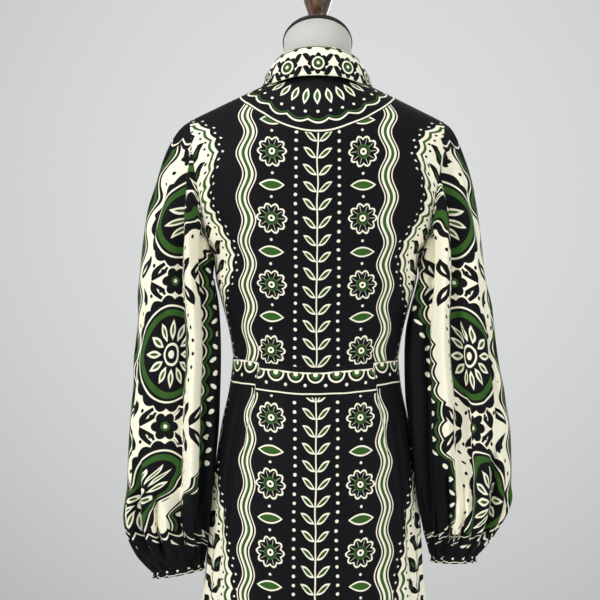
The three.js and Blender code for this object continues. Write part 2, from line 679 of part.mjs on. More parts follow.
function makeFastening() {
  const rows = frontRows().filter(({ middle }) => middle.z > PLACKET.bottom && middle.z < PLACKET.top);
  const lift = SEAM_GAP + PLACKET.cloth + 0.2;
  const wall = [lift, lift - PLACKET.cloth].map((out) =>
    rows.map(({ middle, normal, aside }) =>
      [-1, -0.5, 0, 0.5, 1].map((across) => {
        const x = PLACKET.halfWidth * across;
        const share = Math.abs(x) / aside.x;
        return new THREE.Vector3(x, middle.y + aside.y * share, middle.z + aside.z * share)
          .addScaledVector(normal, out);
      }),
    ),
  );
  add("front_placket", wallGeometry(wall[0], wall[1], false), cottonPrint);
  for (let i = 0; i < BUTTON.count; i += 1) {
    const height = BUTTON.first - BUTTON.spacing * i;
    const below = rows.findIndex(({ middle }) => middle.z < height);
    const [high, low] = [rows[below - 1], rows[below]];
    const share = (high.middle.z - height) / (high.middle.z - low.middle.z);
    const along = high.middle.clone().sub(low.middle).normalize();
    const normal = new THREE.Vector3(0, along.z, -along.y);
    const geometry = new THREE.CylinderGeometry(BUTTON.radius, BUTTON.radius, BUTTON.height, BUTTON.sides);
    const mesh = add(`button_${String(i + 1).padStart(2, "0")}`, geometry, buttonHorn);
    const stand = lift + BUTTON.stand + BUTTON.height / 2;
    mesh.position.lerpVectors(high.middle, low.middle, share).addScaledVector(normal, stand);
    mesh.quaternion.setFromUnitVectors(new THREE.Vector3(0, 1, 0), normal);
  }
}

// One level ring of the dress form: across the back, then across the front.
function formRing(height) {
  const section = tableValue(bodySections, "height", "halfWidth", Math.min(height, UNDERARM)) - FORM.ease;
  const plate = height <= UNDERARM ? section : mix(section, FORM.armPlate, smoothStep((height - UNDERARM) / 70));
  const reach = Math.max(Math.min(plate, shoulderReach(height + FORM.shoulderGap)), FORM.neckHalfWidth);
  const half = GRID.formRound / 2;
  const ring = [];
  for (const face of [BACK, FRONT]) {
    for (let j = 0; j < half; j += 1) {
      const angle = mix(-Math.PI / 2, Math.PI / 2, j / (half - 1)) * -face.sign;
      const x = reach * Math.sin(angle);
      const trunk = bodyDepth(face, x, height, FORM.ease, FORM.shoulderGap);
      const neckDepth = face === BACK ? FORM.neckBack : FORM.neckFront;
      const neckShare = Math.min(Math.abs(x) / FORM.neckHalfWidth, 1);
      const neck = height > 350 ? neckDepth * Math.sqrt(1 - neckShare ** 2) : 0;
      ring.push(new THREE.Vector3(x, face.sign * Math.max(trunk, neck, 0.6), height));
    }
  }
  return ring;
}

function makeForm() {
  const heights = [
    ...evenly(8, FORM.bottom, 0),
    ...evenly(5, 0, UNDERARM).slice(1),
    ...evenly(8, UNDERARM, 350).slice(1),
    362, 374, 386, 397, 407, 416, 427, 440,
  ];
  const rings = heights.map(formRing);
  const top = formRing(445).map((p) => new THREE.Vector3(p.x, p.y, underCap(p.y)));
  rings.push(top);
  add("form_torso", solidGeometry(rings), formCover);

  const cap = add("neck_cap", new THREE.CylinderGeometry(CAP.radius, CAP.radius, CAP.height, 40), darkMetal);
  const middle = (FORM.neckFront - FORM.neckBack) / 2;
  cap.scale.set(1, 1, 1 / Math.cos(FORM.neckTilt));
  cap.rotation.x = Math.PI / 2 - FORM.neckTilt;
  cap.position.set(0, middle, neckPlane(middle) - CAP.height / 2);

  const points = finialProfile.map((row) => new THREE.Vector2(row.radius, row.height));
  points.unshift(new THREE.Vector2(0, 0));
  const finial = add("finial", new THREE.LatheGeometry(points, 20), turnedWood);
  finial.rotation.x = Math.PI / 2;
  finial.position.set(0, middle, neckPlane(middle) + FINIAL_FOOT);
}

// Height of the sloping plane on top of the neck's rim, highest at the back.
const neckPlane = (y) => FORM.neckTop - (y - 3) * Math.tan(FORM.neckTilt);
const underCap = (y) => neckPlane(y) - CAP.height / Math.cos(FORM.neckTilt) - SEAM_GAP;

function makeStand() {
  const poleFoot = BASE.thickness + BASE.bossHeight - WAIST_HEIGHT + SEAM_GAP;
  const poleHead = FORM.bottom - SEAM_GAP;
  const pole = add(
    "pole",
    new THREE.CylinderGeometry(POLE.radius, POLE.radius, poleHead - poleFoot, POLE.sides),
    darkMetal,
  );
  pole.rotation.x = Math.PI / 2;
  pole.position.z = (poleHead + poleFoot) / 2;
  const profile = [
    [0, 0],
    [BASE.radius, 0],
    [BASE.radius, BASE.thickness * 0.6],
    [BASE.radius - 6, BASE.thickness],
    [BASE.bossRadius + 30, BASE.thickness + 5],
    [BASE.bossRadius, BASE.thickness + 14],
    [BASE.bossRadius - 8, BASE.thickness + BASE.bossHeight],
    [0, BASE.thickness + BASE.bossHeight],
  ].map(([radius, height]) => new THREE.Vector2(radius, height));
  const base = add("stand_base", new THREE.LatheGeometry(profile, BASE.sides), darkMetal);
  base.rotation.x = Math.PI / 2;
  base.position.z = -WAIST_HEIGHT;
}

makeBodice();
makeSkirt();
makeSleeves();
makeCollar();
makeFastening();
makeForm();
makeStand();

const model = new THREE.Group();
model.add(dress);
export default model;
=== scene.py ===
import math

import bpy
import numpy as np
from mathutils import Matrix, Vector


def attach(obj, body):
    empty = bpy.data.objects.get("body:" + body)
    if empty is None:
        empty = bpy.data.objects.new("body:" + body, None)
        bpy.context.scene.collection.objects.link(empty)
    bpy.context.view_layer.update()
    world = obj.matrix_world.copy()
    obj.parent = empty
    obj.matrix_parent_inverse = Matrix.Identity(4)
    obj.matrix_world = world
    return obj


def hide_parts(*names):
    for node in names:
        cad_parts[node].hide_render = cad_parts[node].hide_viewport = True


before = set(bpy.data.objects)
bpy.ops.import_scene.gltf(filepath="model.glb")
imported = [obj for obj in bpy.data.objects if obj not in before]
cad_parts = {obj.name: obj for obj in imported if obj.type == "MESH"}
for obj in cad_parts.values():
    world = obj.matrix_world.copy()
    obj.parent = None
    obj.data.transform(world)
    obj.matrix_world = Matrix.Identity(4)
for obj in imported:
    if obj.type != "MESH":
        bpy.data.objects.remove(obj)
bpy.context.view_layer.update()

# The camera stands behind the dress a little above its waist, level, as far off as in the
# photograph. It leans a third of a degree, as the hand-held one did.
def added(name, data):
    """A new object in the scene, which shows a mesh, a lamp or a camera."""
    thing = bpy.data.objects.new(name, data)
    bpy.context.scene.collection.objects.link(thing)
    return thing


camera = added("camera", bpy.data.cameras.new("camera"))
camera.data.lens = 96
camera.data.sensor_width = 36
camera.location = (-0.024, -2.4, 1.13)
camera.rotation_euler = (math.radians(90), math.radians(-0.35), 0)
bpy.context.scene.camera = camera
bpy.context.scene.view_settings.view_transform = "Standard"


# The room: a round pale floor under the stand, and a light grey wall far behind, brightest
# behind the shoulders. Large soft windows light the back of the dress, stronger from the left,
# with a lamp overhead and a far window beyond it.
class Tint:
    """A number, a vector or a colour on its way through a material, with Python's operators."""

    def __init__(self, tree, socket=None):
        self.tree, self.socket = tree, socket

    def node(self, kind, settings, sockets, output=0):
        """Adds a node: its settings are set first, then the value or the link of each socket."""
        made = self.tree.nodes.new(kind)
        for name, value in settings.items():
            if name == "stops":
                ramp = made.color_ramp.elements
                while len(ramp) < len(value):
                    ramp.new(0.5)
                for stop, (place, colour) in zip(ramp, value):
                    stop.position, stop.color = place, colour
            else:
                setattr(made, name, value)
        for name, value in sockets.items():
            if isinstance(value, Tint):
                self.tree.links.new(value.socket, made.inputs[name])
            else:
                made.inputs[name].default_value = value
        return Tint(self.tree, made.outputs[output])

    def math(self, operation, *others, clamp=False):
        sockets = dict(enumerate((self, *others)))
        return self.node("ShaderNodeMath", {"operation": operation, "use_clamp": clamp}, sockets)

    def __add__(self, other):
        return self.math("ADD", other)

    __radd__ = __add__

    def __sub__(self, other):
        return self.math("SUBTRACT", other)

    def __rsub__(self, other):
        return self.math("MULTIPLY_ADD", -1.0, other)

    def __mul__(self, other):
        return self.math("MULTIPLY", other)

    __rmul__ = __mul__

    def __abs__(self):
        return self.math("ABSOLUTE")

    def max(self, other):
        return self.math("MAXIMUM", other)

    def min(self, other):
        return self.math("MINIMUM", other)

    def wave(self, period, kind="SINE"):
        return (self * (2 * math.pi / period)).math(kind)

    def each(self, pitch):
        """The distance from the middle of the nearest of places a pitch apart, with its sign."""
        return self.math("WRAP", pitch / 2, -pitch / 2)

    def noise(self, scale, detail=2.0, output=0):
        """Soft noise from 0 to 1 over this vector."""
        sockets = {"Vector": self, "Scale": scale, "Detail": detail}
        return self.node("ShaderNodeTexNoise", {}, sockets, output)

    def place(self):
        """Where each point is in the object's frame, in metres."""
        return self.node("ShaderNodeTexCoord", {}, {}, "Object")

    def part(self, axis):
        """This vector's X, Y or Z."""
        return self.node("ShaderNodeSeparateXYZ", {}, {"Vector": self}, axis)

    def vector(self, operation, other):
        """Vector maths with another vector or with three numbers."""
        return self.node("ShaderNodeVectorMath", {"operation": operation}, {0: self, 1: other})

    def over(self, under, colour):
        """The colour where this mask is 1, and what is under it where it is 0."""
        return self.node("ShaderNodeMix", {"data_type": "RGBA"}, {0: self, 6: under, 7: colour}, 2)


def linear(red, green, blue):
    """A colour read from 0 to 255 as light, for a colour socket."""
    shares = [v / 255 for v in (red, green, blue)]
    light = [v / 12.92 if v <= 0.04045 else ((v + 0.055) / 1.055) ** 2.4 for v in shares]
    return (*light, 1.0)


def finish_of(name, roughness, **constants):
    """A new material: its start for expressions, and its shader with the constant sockets set."""
    material = bpy.data.materials.new(name)
    material.use_nodes = True
    tree = material.node_tree
    shader = tree.nodes["Principled BSDF"]
    shader.inputs["Roughness"].default_value = roughness
    for socket, value in constants.items():
        shader.inputs[socket.replace("_", " ")].default_value = value
    return material, Tint(tree), shader


def feed(shader, **sockets):
    """Links expressions to the shader's sockets."""
    for name, value in sockets.items():
        value.tree.links.new(value.socket, shader.inputs[name.replace("_", " ")])


def raised(start, height, distance, strength=1.0):
    """A height in 0 to 1 as a bump of so many metres."""
    sockets = {"Height": height, "Distance": distance, "Strength": strength}
    return start.node("ShaderNodeBump", {}, sockets)


FLOOR_RADIUS, FLOOR_LEVEL = 3.4, -0.0005
floor_mesh = bpy.data.meshes.new("floor")
turns = np.linspace(0, 2 * math.pi, 128, endpoint=False)
floor_rim = [(FLOOR_RADIUS * math.cos(a), FLOOR_RADIUS * math.sin(a), FLOOR_LEVEL) for a in turns]
floor_mesh.from_pydata(floor_rim, [], [range(128)])
floor = added("floor", floor_mesh)
floor_finish, start, shader = finish_of("pale_floor", 0.75)
cloudy = start.place().noise(3.0, 4.0)
feed(shader, Base_Color=cloudy.over(linear(206, 207, 206), linear(216, 217, 216)))
floor_mesh.materials.append(floor_finish)

world = bpy.data.worlds.new("room")
bpy.context.scene.world = world
world.use_nodes = True
wall = Tint(world.node_tree)
toward = wall.node("ShaderNodeTexCoord", {}, {}, "Generated")
BRIGHT_SPOT, SPOT_REACH = Vector((0.02, 1, 0.07)).normalized(), 0.36
aside = toward.vector("SUBTRACT", BRIGHT_SPOT)
from_spot = aside.node("ShaderNodeVectorMath", {"operation": "LENGTH"}, {0: aside}, "Value")
fall = (from_spot * (1 / SPOT_REACH)).min(1.0)
wall_light = (fall * fall).over(linear(221, 223, 223), linear(172, 175, 174))
world.node_tree.links.new(wall_light.socket, world.node_tree.nodes["Background"].inputs["Color"])

LAMPS_POINT_AT = Vector((0, 0, 1.05))
for lamp_name, place, side, power in (
    ("window_left", (-2.5, -2.2, 2.4), 1.1, 66),
    ("window_right", (2.6, -2.2, 1.6), 2.2, 40),
    ("ceiling", (-0.5, -0.6, 3.9), 1.6, 26),
    ("far_window", (1.6, 3.4, 2.3), 2.0, 36),
):
    lamp = added(lamp_name, bpy.data.lights.new(lamp_name, "AREA"))
    lamp.data.size = side
    lamp.data.energy = power
    lamp.location = place
    lamp.rotation_euler = (LAMPS_POINT_AT - Vector(place)).to_track_quat("-Z", "Y").to_euler()


# The dress form: a padded shell covered in fine pale jersey, pulled smooth over chest, waist
# and neck. It ends under the rim on its sloping neck, and below the hip in a flat board.
WAIST = 1040  # the waist seam over the floor; all other heights count from this seam
HARD_GAP = 0.3
FORM_BOTTOM, FORM_EASE, FORM_BELOW_SHOULDER = -235, 5.5, 5.4
FORM_COLUMNS = 144
ARM_PLATE, PLATE_REACH = 160, 70
NECK_HALF_WIDTH, NECK_BACK, NECK_FRONT = 50.8, 45, 53
NECK_TOP, NECK_TOP_AT, NECK_TILT = 478, 3, math.radians(33)
NECK_JOIN_LOW, NECK_JOIN_HIGH, JOIN_SOFT = 350, 440, 3  # where the shoulders become the neck
RIM_RADIUS, RIM_HEIGHT = 52.4, 3.4
UNDERARM = 160
SHOULDER_FALL, SHOULDER_ROUND, SHOULDER_ROLL = 0.491, 25, 115
NECK_POINT_X, NECK_POINT_HEIGHT = 68, 416
SHOULDER_TOP = NECK_POINT_HEIGHT + SHOULDER_FALL * math.hypot(NECK_POINT_X, SHOULDER_ROUND)
BODY_POWER = 2.2
WIDE, BACK, FRONT = 1, 2, 3  # columns of the table below
FACING = {BACK: -1, FRONT: 1}

# height, half width, depth at the back, depth at the front
BODY_SECTIONS = (
    (-980, 252, 188, 186), (-700, 213, 160, 157), (-500, 184, 140, 136), (-355, 163, 127, 122),
    (-200, 153, 120, 113), (-100, 141, 108, 101), (-45, 129, 99, 94), (0, 124.5, 95, 92),
    (45, 131, 98, 98), (85, 141, 102, 106), (120, 150, 106, 115), (160, 155, 109, 121),
    (180, 168, 110, 120), (225, 192, 110, 112), (270, 206, 108, 100), (315, 212, 104, 84),
    (360, 215, 98, 70), (440, 215, 90, 60),
)


def read_table(rows, column, at):
    """One column of a table as a smooth curve through its rows, at one place or at many."""
    places = np.array([row[0] for row in rows], float)
    values = np.array([row[column] for row in rows], float)
    slopes = np.empty(len(places))
    slopes[1:-1] = (values[2:] - values[:-2]) / (places[2:] - places[:-2])
    slopes[0] = (values[1] - values[0]) / (places[1] - places[0])
    slopes[-1] = (values[-1] - values[-2]) / (places[-1] - places[-2])
    at = np.clip(at, places[0], places[-1])
    i = np.clip(np.searchsorted(places, at, side="right") - 1, 0, len(places) - 2)
    span = places[i + 1] - places[i]
    t = (at - places[i]) / span
    leave = t * (1 - t) ** 2 * span * slopes[i]
    arrive = t * t * (t - 1) * span * slopes[i + 1]
    return values[i] + (values[i + 1] - values[i]) * t * t * (3 - 2 * t) + leave + arrive


def eased(x):
    """0 up to 0 and 1 from 1 on, with a soft start and end between them."""
    x = np.clip(x, 0, 1)
    return x * x * (3 - 2 * x)


def mix(low, high, share):
    return low + (high - low) * share


def softly_larger(one, other, softness):
    """The larger of two values, with a soft change from the one to the other."""
    larger = np.maximum(one, other)
    spare = np.exp((one - larger) / softness) + np.exp((other - larger) / softness)
    return larger + softness * np.log(spare)


def body_size(column, height):
    """Half the body's width, or its depth at the back or the front, at a height."""
    return read_table(BODY_SECTIONS, column, height)


def shoulder_line(x):
    """Height of the shoulder seam at a place across."""
    return SHOULDER_TOP - SHOULDER_FALL * np.hypot(x, SHOULDER_ROUND)


def section_depth(x, half_width, depth):
    """How deep a body of this width and depth is at a place across."""
    share = np.minimum(np.abs(x) / half_width, 1)
    return depth * (1 - share**BODY_POWER) ** (1 / BODY_POWER)


def roll_share(drop):
    """How far the shoulder's roll has come down below the shoulder line, 0 to 1."""
    u = np.clip(drop / SHOULDER_ROLL, 0, 1)
    return np.sqrt(1 - (1 - u) ** 2)


def body_depth(face, x, height, ease=0.0, below=0.0):
    """Depth of the trunk at a place across and a height, without the neck."""
    half_width, depth = body_size(WIDE, height) - ease, body_size(face, height) - ease
    return section_depth(x, half_width, depth) * roll_share(shoulder_line(x) - below - height)


def neck_plane(y):
    """Height of the sloping plane on top of the neck's rim."""
    return NECK_TOP - (y - NECK_TOP_AT) * math.tan(NECK_TILT)


def form_ring(height):
    """The form's outline at one height."""
    waist_wide = body_size(WIDE, min(height, UNDERARM)) - FORM_EASE
    plate = mix(waist_wide, ARM_PLATE, eased((height - UNDERARM) / PLATE_REACH))
    below_line = (SHOULDER_TOP - height - FORM_BELOW_SHOULDER) / SHOULDER_FALL
    reach = math.sqrt(max(below_line**2 - SHOULDER_ROUND**2, 0))
    wide = max(min(plate, reach), NECK_HALF_WIDTH)
    rising = eased((height - NECK_JOIN_LOW) / 40) * eased((NECK_JOIN_HIGH - height) / 30)
    ring = []
    for face, sign in FACING.items():
        angle = np.linspace(-1, 1, FORM_COLUMNS // 2) * math.pi / 2 * -sign
        x = wide * np.sin(angle)
        trunk = body_depth(face, x, height, FORM_EASE, FORM_BELOW_SHOULDER)
        neck_deep = NECK_BACK if face == BACK else NECK_FRONT
        neck = neck_deep * np.sqrt(1 - np.minimum(np.abs(x) / NECK_HALF_WIDTH, 1) ** 2)
        neck = neck if height > NECK_JOIN_LOW else neck * 0
        joined = mix(np.maximum(trunk, neck), softly_larger(trunk, neck, JOIN_SOFT), rising)
        y = sign * np.maximum(joined, 0.6)
        ring.append(np.stack([x, y, np.full_like(x, height)], 1))
    return np.concatenate(ring)


def new_piece(name, points, faces, finish, sharp=60):
    """A piece from points in millimetres above the waist seam, with its faces turned out."""
    corners = np.array([[*face, face[-1]][:4] for face in faces])
    a, b, c, d = (points[corners[:, k]] for k in range(4))
    volume = np.einsum("ij,ij->i", a, np.cross(b, c)) + np.einsum("ij,ij->i", a, np.cross(c, d))
    turned = volume.sum() < 0
    if turned:
        faces = [face[::-1] for face in faces]
    mesh = bpy.data.meshes.new(name)
    mesh.from_pydata(((points + (0, 0, WAIST)) / 1000).tolist(), [], faces)
    mesh.shade_smooth()
    mesh.set_sharp_from_angle(angle=math.radians(sharp))
    mesh.materials.append(finish)
    return added(name, mesh), turned


def stands_for(piece, slot, *nodes):
    """Puts a piece in the place of its CAD nodes: hides them and hangs the piece on the root body.
    The slot is not used.
    """
    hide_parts(*nodes)
    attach(piece, "root")


def closed_rings(rings, first=0):
    """Points and faces of a body through rings of points, closed at both ends."""
    rings = np.asarray(rings)
    rows, columns = rings.shape[:2]
    at = np.arange(first, first + rows * columns).reshape(rows, columns)
    at = np.hstack([at, at[:, :1]])
    quads = np.stack([at[:-1, :-1], at[:-1, 1:], at[1:, 1:], at[1:, :-1]], -1)
    faces = quads.reshape(-1, 4).tolist()
    foot, head = first + rows * columns, first + rows * columns + 1
    faces += [[foot, int(b), int(a)] for a, b in zip(at[0, :-1], at[0, 1:])]
    faces += [[head, int(a), int(b)] for a, b in zip(at[-1, :-1], at[-1, 1:])]
    return np.vstack([rings.reshape(-1, 3), rings[[0, -1]].mean(1)]), faces


def ring_body(name, rings, finish, sharp=60):
    return new_piece(name, *closed_rings(rings), finish, sharp)[0]


form_heights = [*np.linspace(FORM_BOTTOM, NECK_JOIN_LOW, 90)]
form_heights += [*np.linspace(NECK_JOIN_LOW + 2, NECK_JOIN_HIGH, 45)]
form_rings = [form_ring(height) for height in form_heights]
neck_end = form_ring(NECK_JOIN_HIGH + 5)
under_rim = neck_plane(neck_end[:, 1]) - RIM_HEIGHT / math.cos(NECK_TILT) - HARD_GAP
for share in (0.25, 0.5, 0.75, 1.0):
    risen = neck_end.copy()
    risen[:, 2] = mix(NECK_JOIN_HIGH, under_rim, share)
    form_rings.append(risen)

jersey, start, shader = finish_of("pale_jersey", 0.82, Sheen_Weight=0.12, Sheen_Roughness=0.5)
place = start.place()
feed(shader, Base_Color=place.noise(26.0, 3.0).over(linear(198, 195, 189), linear(209, 206, 201)))
JERSEY_RIB = 1.1
rib = (place.part("Z") * 1000).wave(JERSEY_RIB) * 0.4 + place.noise(900.0) * 0.6
feed(shader, Normal=raised(start, rib, 0.00012, 0.6))
form_cover = ring_body("form_cover", form_rings, jersey)
stands_for(form_cover, "form_cover", "form_torso")


# The stand: a steel pole in the boss of a round weighted base, both in dark satin enamel, and
# on top of the neck a dark metal rim and a turned, varnished finial screwed down onto it.
POLE_RADIUS, BASE_RADIUS, BASE_THICK, BOSS_RADIUS, BOSS_HEIGHT = 14, 178, 10, 30, 36
BASE_ROUND, BOSS_ROUND = 5, 2
LID_RISE, FLARE_WIDE, FLARE_HIGH = 5, 22, 9  # the base's lid, and the boss's flare onto it
NECK_MIDDLE = (NECK_FRONT - NECK_BACK) / 2
FINIAL_FOOT, FOOT_ROWS = 10.1, 6
FOOT_SPREAD, SPREAD_HEIGHT = 1.6, 16
# height, radius
FINIAL = (
    (0, 14), (5, 14.5), (10, 13), (20, 12.6), (31, 14.2), (41, 17.6), (51, 20.9), (64, 23.6),
    (75, 24.2), (91, 22), (106, 15), (113, 8), (116, 0.4),
)


def turned_rings(profile, columns=96):
    """Rings round the Z axis from rows of radius and height."""
    angle = np.linspace(0, 2 * math.pi, columns, endpoint=False)
    circle = np.stack([np.cos(angle), np.sin(angle), np.zeros(columns)], 1)
    return np.array([circle * radius + (0, 0, height) for radius, height in profile])


def rounded(low, high, radius, edge):
    """Profile of a round bar from low to high with its two edges eased."""
    turn = np.linspace(0, math.pi / 2, 5)
    foot = [(radius - edge + edge * math.sin(a), low + edge - edge * math.cos(a)) for a in turn]
    head = [(radius - edge + edge * math.cos(a), high - edge + edge * math.sin(a)) for a in turn]
    return [*foot, *head]


enamel, start, shader = finish_of("dark_enamel", 0.42, Metallic=0.15, Coat_Weight=0.1)
place = start.place()
feed(shader, Base_Color=place.noise(40.0, 4.0).over(linear(25, 25, 27), linear(36, 35, 37)))
feed(shader, Roughness=place.noise(18.0, 5.0) * 0.18 + 0.34)
feed(shader, Normal=raised(start, place.noise(700.0, 3.0), 0.00008))

pole_low, pole_high = BASE_THICK + BOSS_HEIGHT + HARD_GAP - WAIST, FORM_BOTTOM - HARD_GAP
pole = ring_body("pole_tube", turned_rings(rounded(pole_low, pole_high, POLE_RADIUS, 1)), enamel)
stands_for(pole, "dark_metal", "pole")

quarter = [(math.cos(a), math.sin(a)) for a in np.linspace(0, math.pi / 2, 6)]
edge, lid, boss_top = BASE_THICK * 0.5, BASE_THICK + LID_RISE, BASE_THICK + BOSS_HEIGHT
base_profile = [(BASE_RADIUS - 1.5, 0), (BASE_RADIUS, 1.2), (BASE_RADIUS, edge)]
base_profile += [
    (BASE_RADIUS - BASE_ROUND + BASE_ROUND * out, edge + BASE_ROUND * up) for out, up in quarter[1:]
]
base_profile += [(120, BASE_THICK + 2), (BOSS_RADIUS + 30, lid)]
base_profile += [
    (BOSS_RADIUS + FLARE_WIDE * (1 - up), lid + FLARE_HIGH * (1 - out)) for out, up in quarter
]
base_profile += [(BOSS_RADIUS - 6, BASE_THICK + 28)]
base_profile += [
    (BOSS_RADIUS - 9 + BOSS_ROUND * out, boss_top - BOSS_ROUND + BOSS_ROUND * up)
    for out, up in quarter
]
base_rings = turned_rings(base_profile, 160) - (0, 0, WAIST)
base = ring_body("base_plate", base_rings, enamel, 40)
stands_for(base, "dark_metal", "stand_base")

rim_rings = turned_rings(rounded(-RIM_HEIGHT / 2, RIM_HEIGHT / 2, RIM_RADIUS, 1.1), 128)
slope = Matrix.Rotation(-NECK_TILT, 3, "X")
stretch = np.array([1, 1 / math.cos(NECK_TILT), 1])
rim_rings = (rim_rings * stretch) @ np.array(slope).T
rim_rings += (0, NECK_MIDDLE, neck_plane(NECK_MIDDLE) - RIM_HEIGHT / 2)
rim = ring_body("neck_rim", rim_rings, enamel, 50)
stands_for(rim, "dark_metal", "neck_cap")

finial_heights = np.linspace(0, FINIAL[-1][0], 90)
spread = FOOT_SPREAD * (1 - eased(finial_heights / SPREAD_HEIGHT))
finial_radii = read_table(FINIAL, 1, finial_heights) + spread
finial_rings = turned_rings(list(zip(finial_radii, finial_heights)))
finial_rings += (0, NECK_MIDDLE, neck_plane(NECK_MIDDLE) + FINIAL_FOOT)
foot_seat = neck_plane(finial_rings[0][:, 1]) + HARD_GAP
for row, share in zip(finial_rings[:FOOT_ROWS], np.linspace(0, 1, FOOT_ROWS)):
    row[:, 2] = mix(foot_seat, finial_rings[FOOT_ROWS][:, 2], share)

walnut, start, shader = finish_of("varnished_wood", 0.3, Coat_Weight=0.8, Coat_Roughness=0.08)
place = start.place()
streaks = place.vector("MULTIPLY", (60, 60, 5)).noise(2.2, 5.0)
pores = place.vector("MULTIPLY", (420, 420, 26)).noise(1.6, 3.0)
brown = streaks.node(
    "ShaderNodeValToRGB",
    {"stops": ((0.3, linear(54, 33, 21)), (0.5, linear(92, 58, 37)), (0.68, linear(132, 92, 62)))},
    {"Fac": streaks},
)
dark_pores = (pores - 0.56).math("MULTIPLY", 5.0, clamp=True)
feed(shader, Base_Color=dark_pores.over(brown, linear(48, 26, 17)))
feed(shader, Roughness=streaks * 0.2 + 0.2)
feed(shader, Normal=raised(start, streaks * 0.5 + pores * 0.3, 0.0002, 0.5))
finial = ring_body("finial_turned", finial_rings, walnut, 45)
stands_for(finial, "turned_wood", "finial")


# The bodice: one back and two fronts of smooth printed cotton, sewn at the sides and along the
# shoulders, with the armholes and the neckline cut away. It lies close and creases a little
# over the waist and below the arms.
CLOTH, CLOTH_SHARP = 0.8, 75  # its thickness, and the angle from which its edges are sharp
SEAM_GAP, SIDE_GAP, SEAM_SUNK = 0.3, 0.4, 0.9
LOW_SHARE = 0.25  # of the way up a panel: its underarm
TOP_NECK_SHARE = 5 / 12  # of the way across its top: where the neckline meets the shoulder seam
SHOULDER_END = 190
DIP_BACK, DIP_SIDE, DIP_REACH = -6.5, 4.5, 120
CREASE_FADE = 60
RUNNING_ON = 9  # the first creases of each table fade out only below the lower end given here
# height of the neckline's middle, and how full its curve is
NECK_MIDDLES = {BACK: (420, 2), FRONT: (350, 2.3)}
# height, distance of the armhole from the middle on the back, and on the front
ARMHOLES = (
    (160, 155, 155), (180, 162, 160), (225, 170, 164), (270, 178, 170), (315, 185, 180),
    (358, 190, 190),
)
# top and bottom of each crease above the waist, where it runs at both, its reach to either
# side, and its height: a ridge over 0, a trough under it
BACK_CREASES = (
    (84, 1, -98, -93, 8, 6, 2.2), (66, 1, -84, -81, 6, 6, -2.0), (52, 1, -70, -69, 5, 6, 1.3),
    (92, 1, 102, 96, 7, 8, 2.0), (70, 1, 87, 84, 6, 6, -2.0), (44, 1, 72, 70, 5, 5, 1.1),
    (60, 1, -112, -108, 6, 7, 1.8), (58, 1, 116, 110, 6, 7, 1.9), (40, 1, 30, 29, 6, 6, 0.7),
    (160, 70, -146, -112, 9, 15, -2.4), (150, 40, 142, 118, 14, 9, -2.6),
    (300, 172, -166, -150, 7, 17, -3.0), (305, 176, 170, 150, 17, 7, -3.2),
    (352, 250, -150, -140, 12, 12, 1.6), (350, 240, 152, 143, 12, 13, 1.5),
    (235, 120, -118, -96, 16, 20, 1.5), (225, 110, 114, 99, 18, 16, 1.4),
    (398, 350, -44, -62, 10, 12, -1.2), (398, 352, 46, 66, 12, 10, -1.1),
)
FRONT_CREASES = (
    (86, 1, 96, 90, 8, 6, 2.1), (64, 1, 80, 77, 6, 6, -1.9), (96, 1, 58, 50, 7, 8, 1.8),
    (55, 1, 40, 37, 6, 6, -1.4), (60, 1, 112, 106, 6, 7, 1.6), (190, 60, 128, 96, 12, 16, -2.2),
    (300, 175, 158, 146, 15, 7, -2.6), (330, 200, 118, 98, 16, 18, 1.8),
    (262, 150, 66, 60, 20, 16, 1.5), (320, 262, 78, 40, 12, 12, -1.4),
)


def place_on(path, share, height):
    """Where a crease runs at a height: between its two ends, or along a table of its own."""
    return mix(*path, share) if len(path) == 2 else read_table(path[0], 1, height)


def creases(rows, across, height, whole_turn=None):
    """The sum of listed creases at points of a panel, or round a sleeve in degrees."""
    risen = np.zeros(np.broadcast(across, height).shape)
    for top, bottom, *path, low_side, high_side, depth in rows:
        fade = min((top - bottom) / 4, CREASE_FADE)
        off = across - place_on(path, (top - height) / (top - bottom), height)
        if whole_turn:
            off = (off + whole_turn / 2) % whole_turn - whole_turn / 2
        reach = np.where(off < 0, low_side, high_side)
        shape = np.where(np.abs(off) < reach, np.cos(off / reach * math.pi / 2) ** 2, 0)
        risen += depth * shape * eased((top - height) / fade) * eased((height - bottom) / fade)
    return risen


def open_ended(rows):
    """Creases that keep their height at the lower end, such as at the waist seam."""
    return tuple((top, bottom - (top - bottom) * 0.5, *rest) for top, bottom, *rest in rows)


def waist_dip(points):
    """The waist seam lies lower in the middle of the back than at the sides."""
    x, y, height = np.moveaxis(points, -1, 0)
    aside = np.sin(np.arctan2(np.abs(x), -y)) ** 2
    dip = np.where(y < 0, mix(DIP_BACK, DIP_SIDE, aside), DIP_SIDE * aside)
    return dip * (1 - eased(np.abs(height) / DIP_REACH))


def section_point(face, across, height):
    """A place on the body's outline at a height, across being -1 to 1 between its sides."""
    angle = np.abs(across) * math.pi / 2
    x = body_size(WIDE, height) * np.sin(angle) ** (2 / BODY_POWER) * np.sign(across)
    y = FACING[face] * body_size(face, height) * np.maximum(np.cos(angle), 0) ** (2 / BODY_POWER)
    return x, y


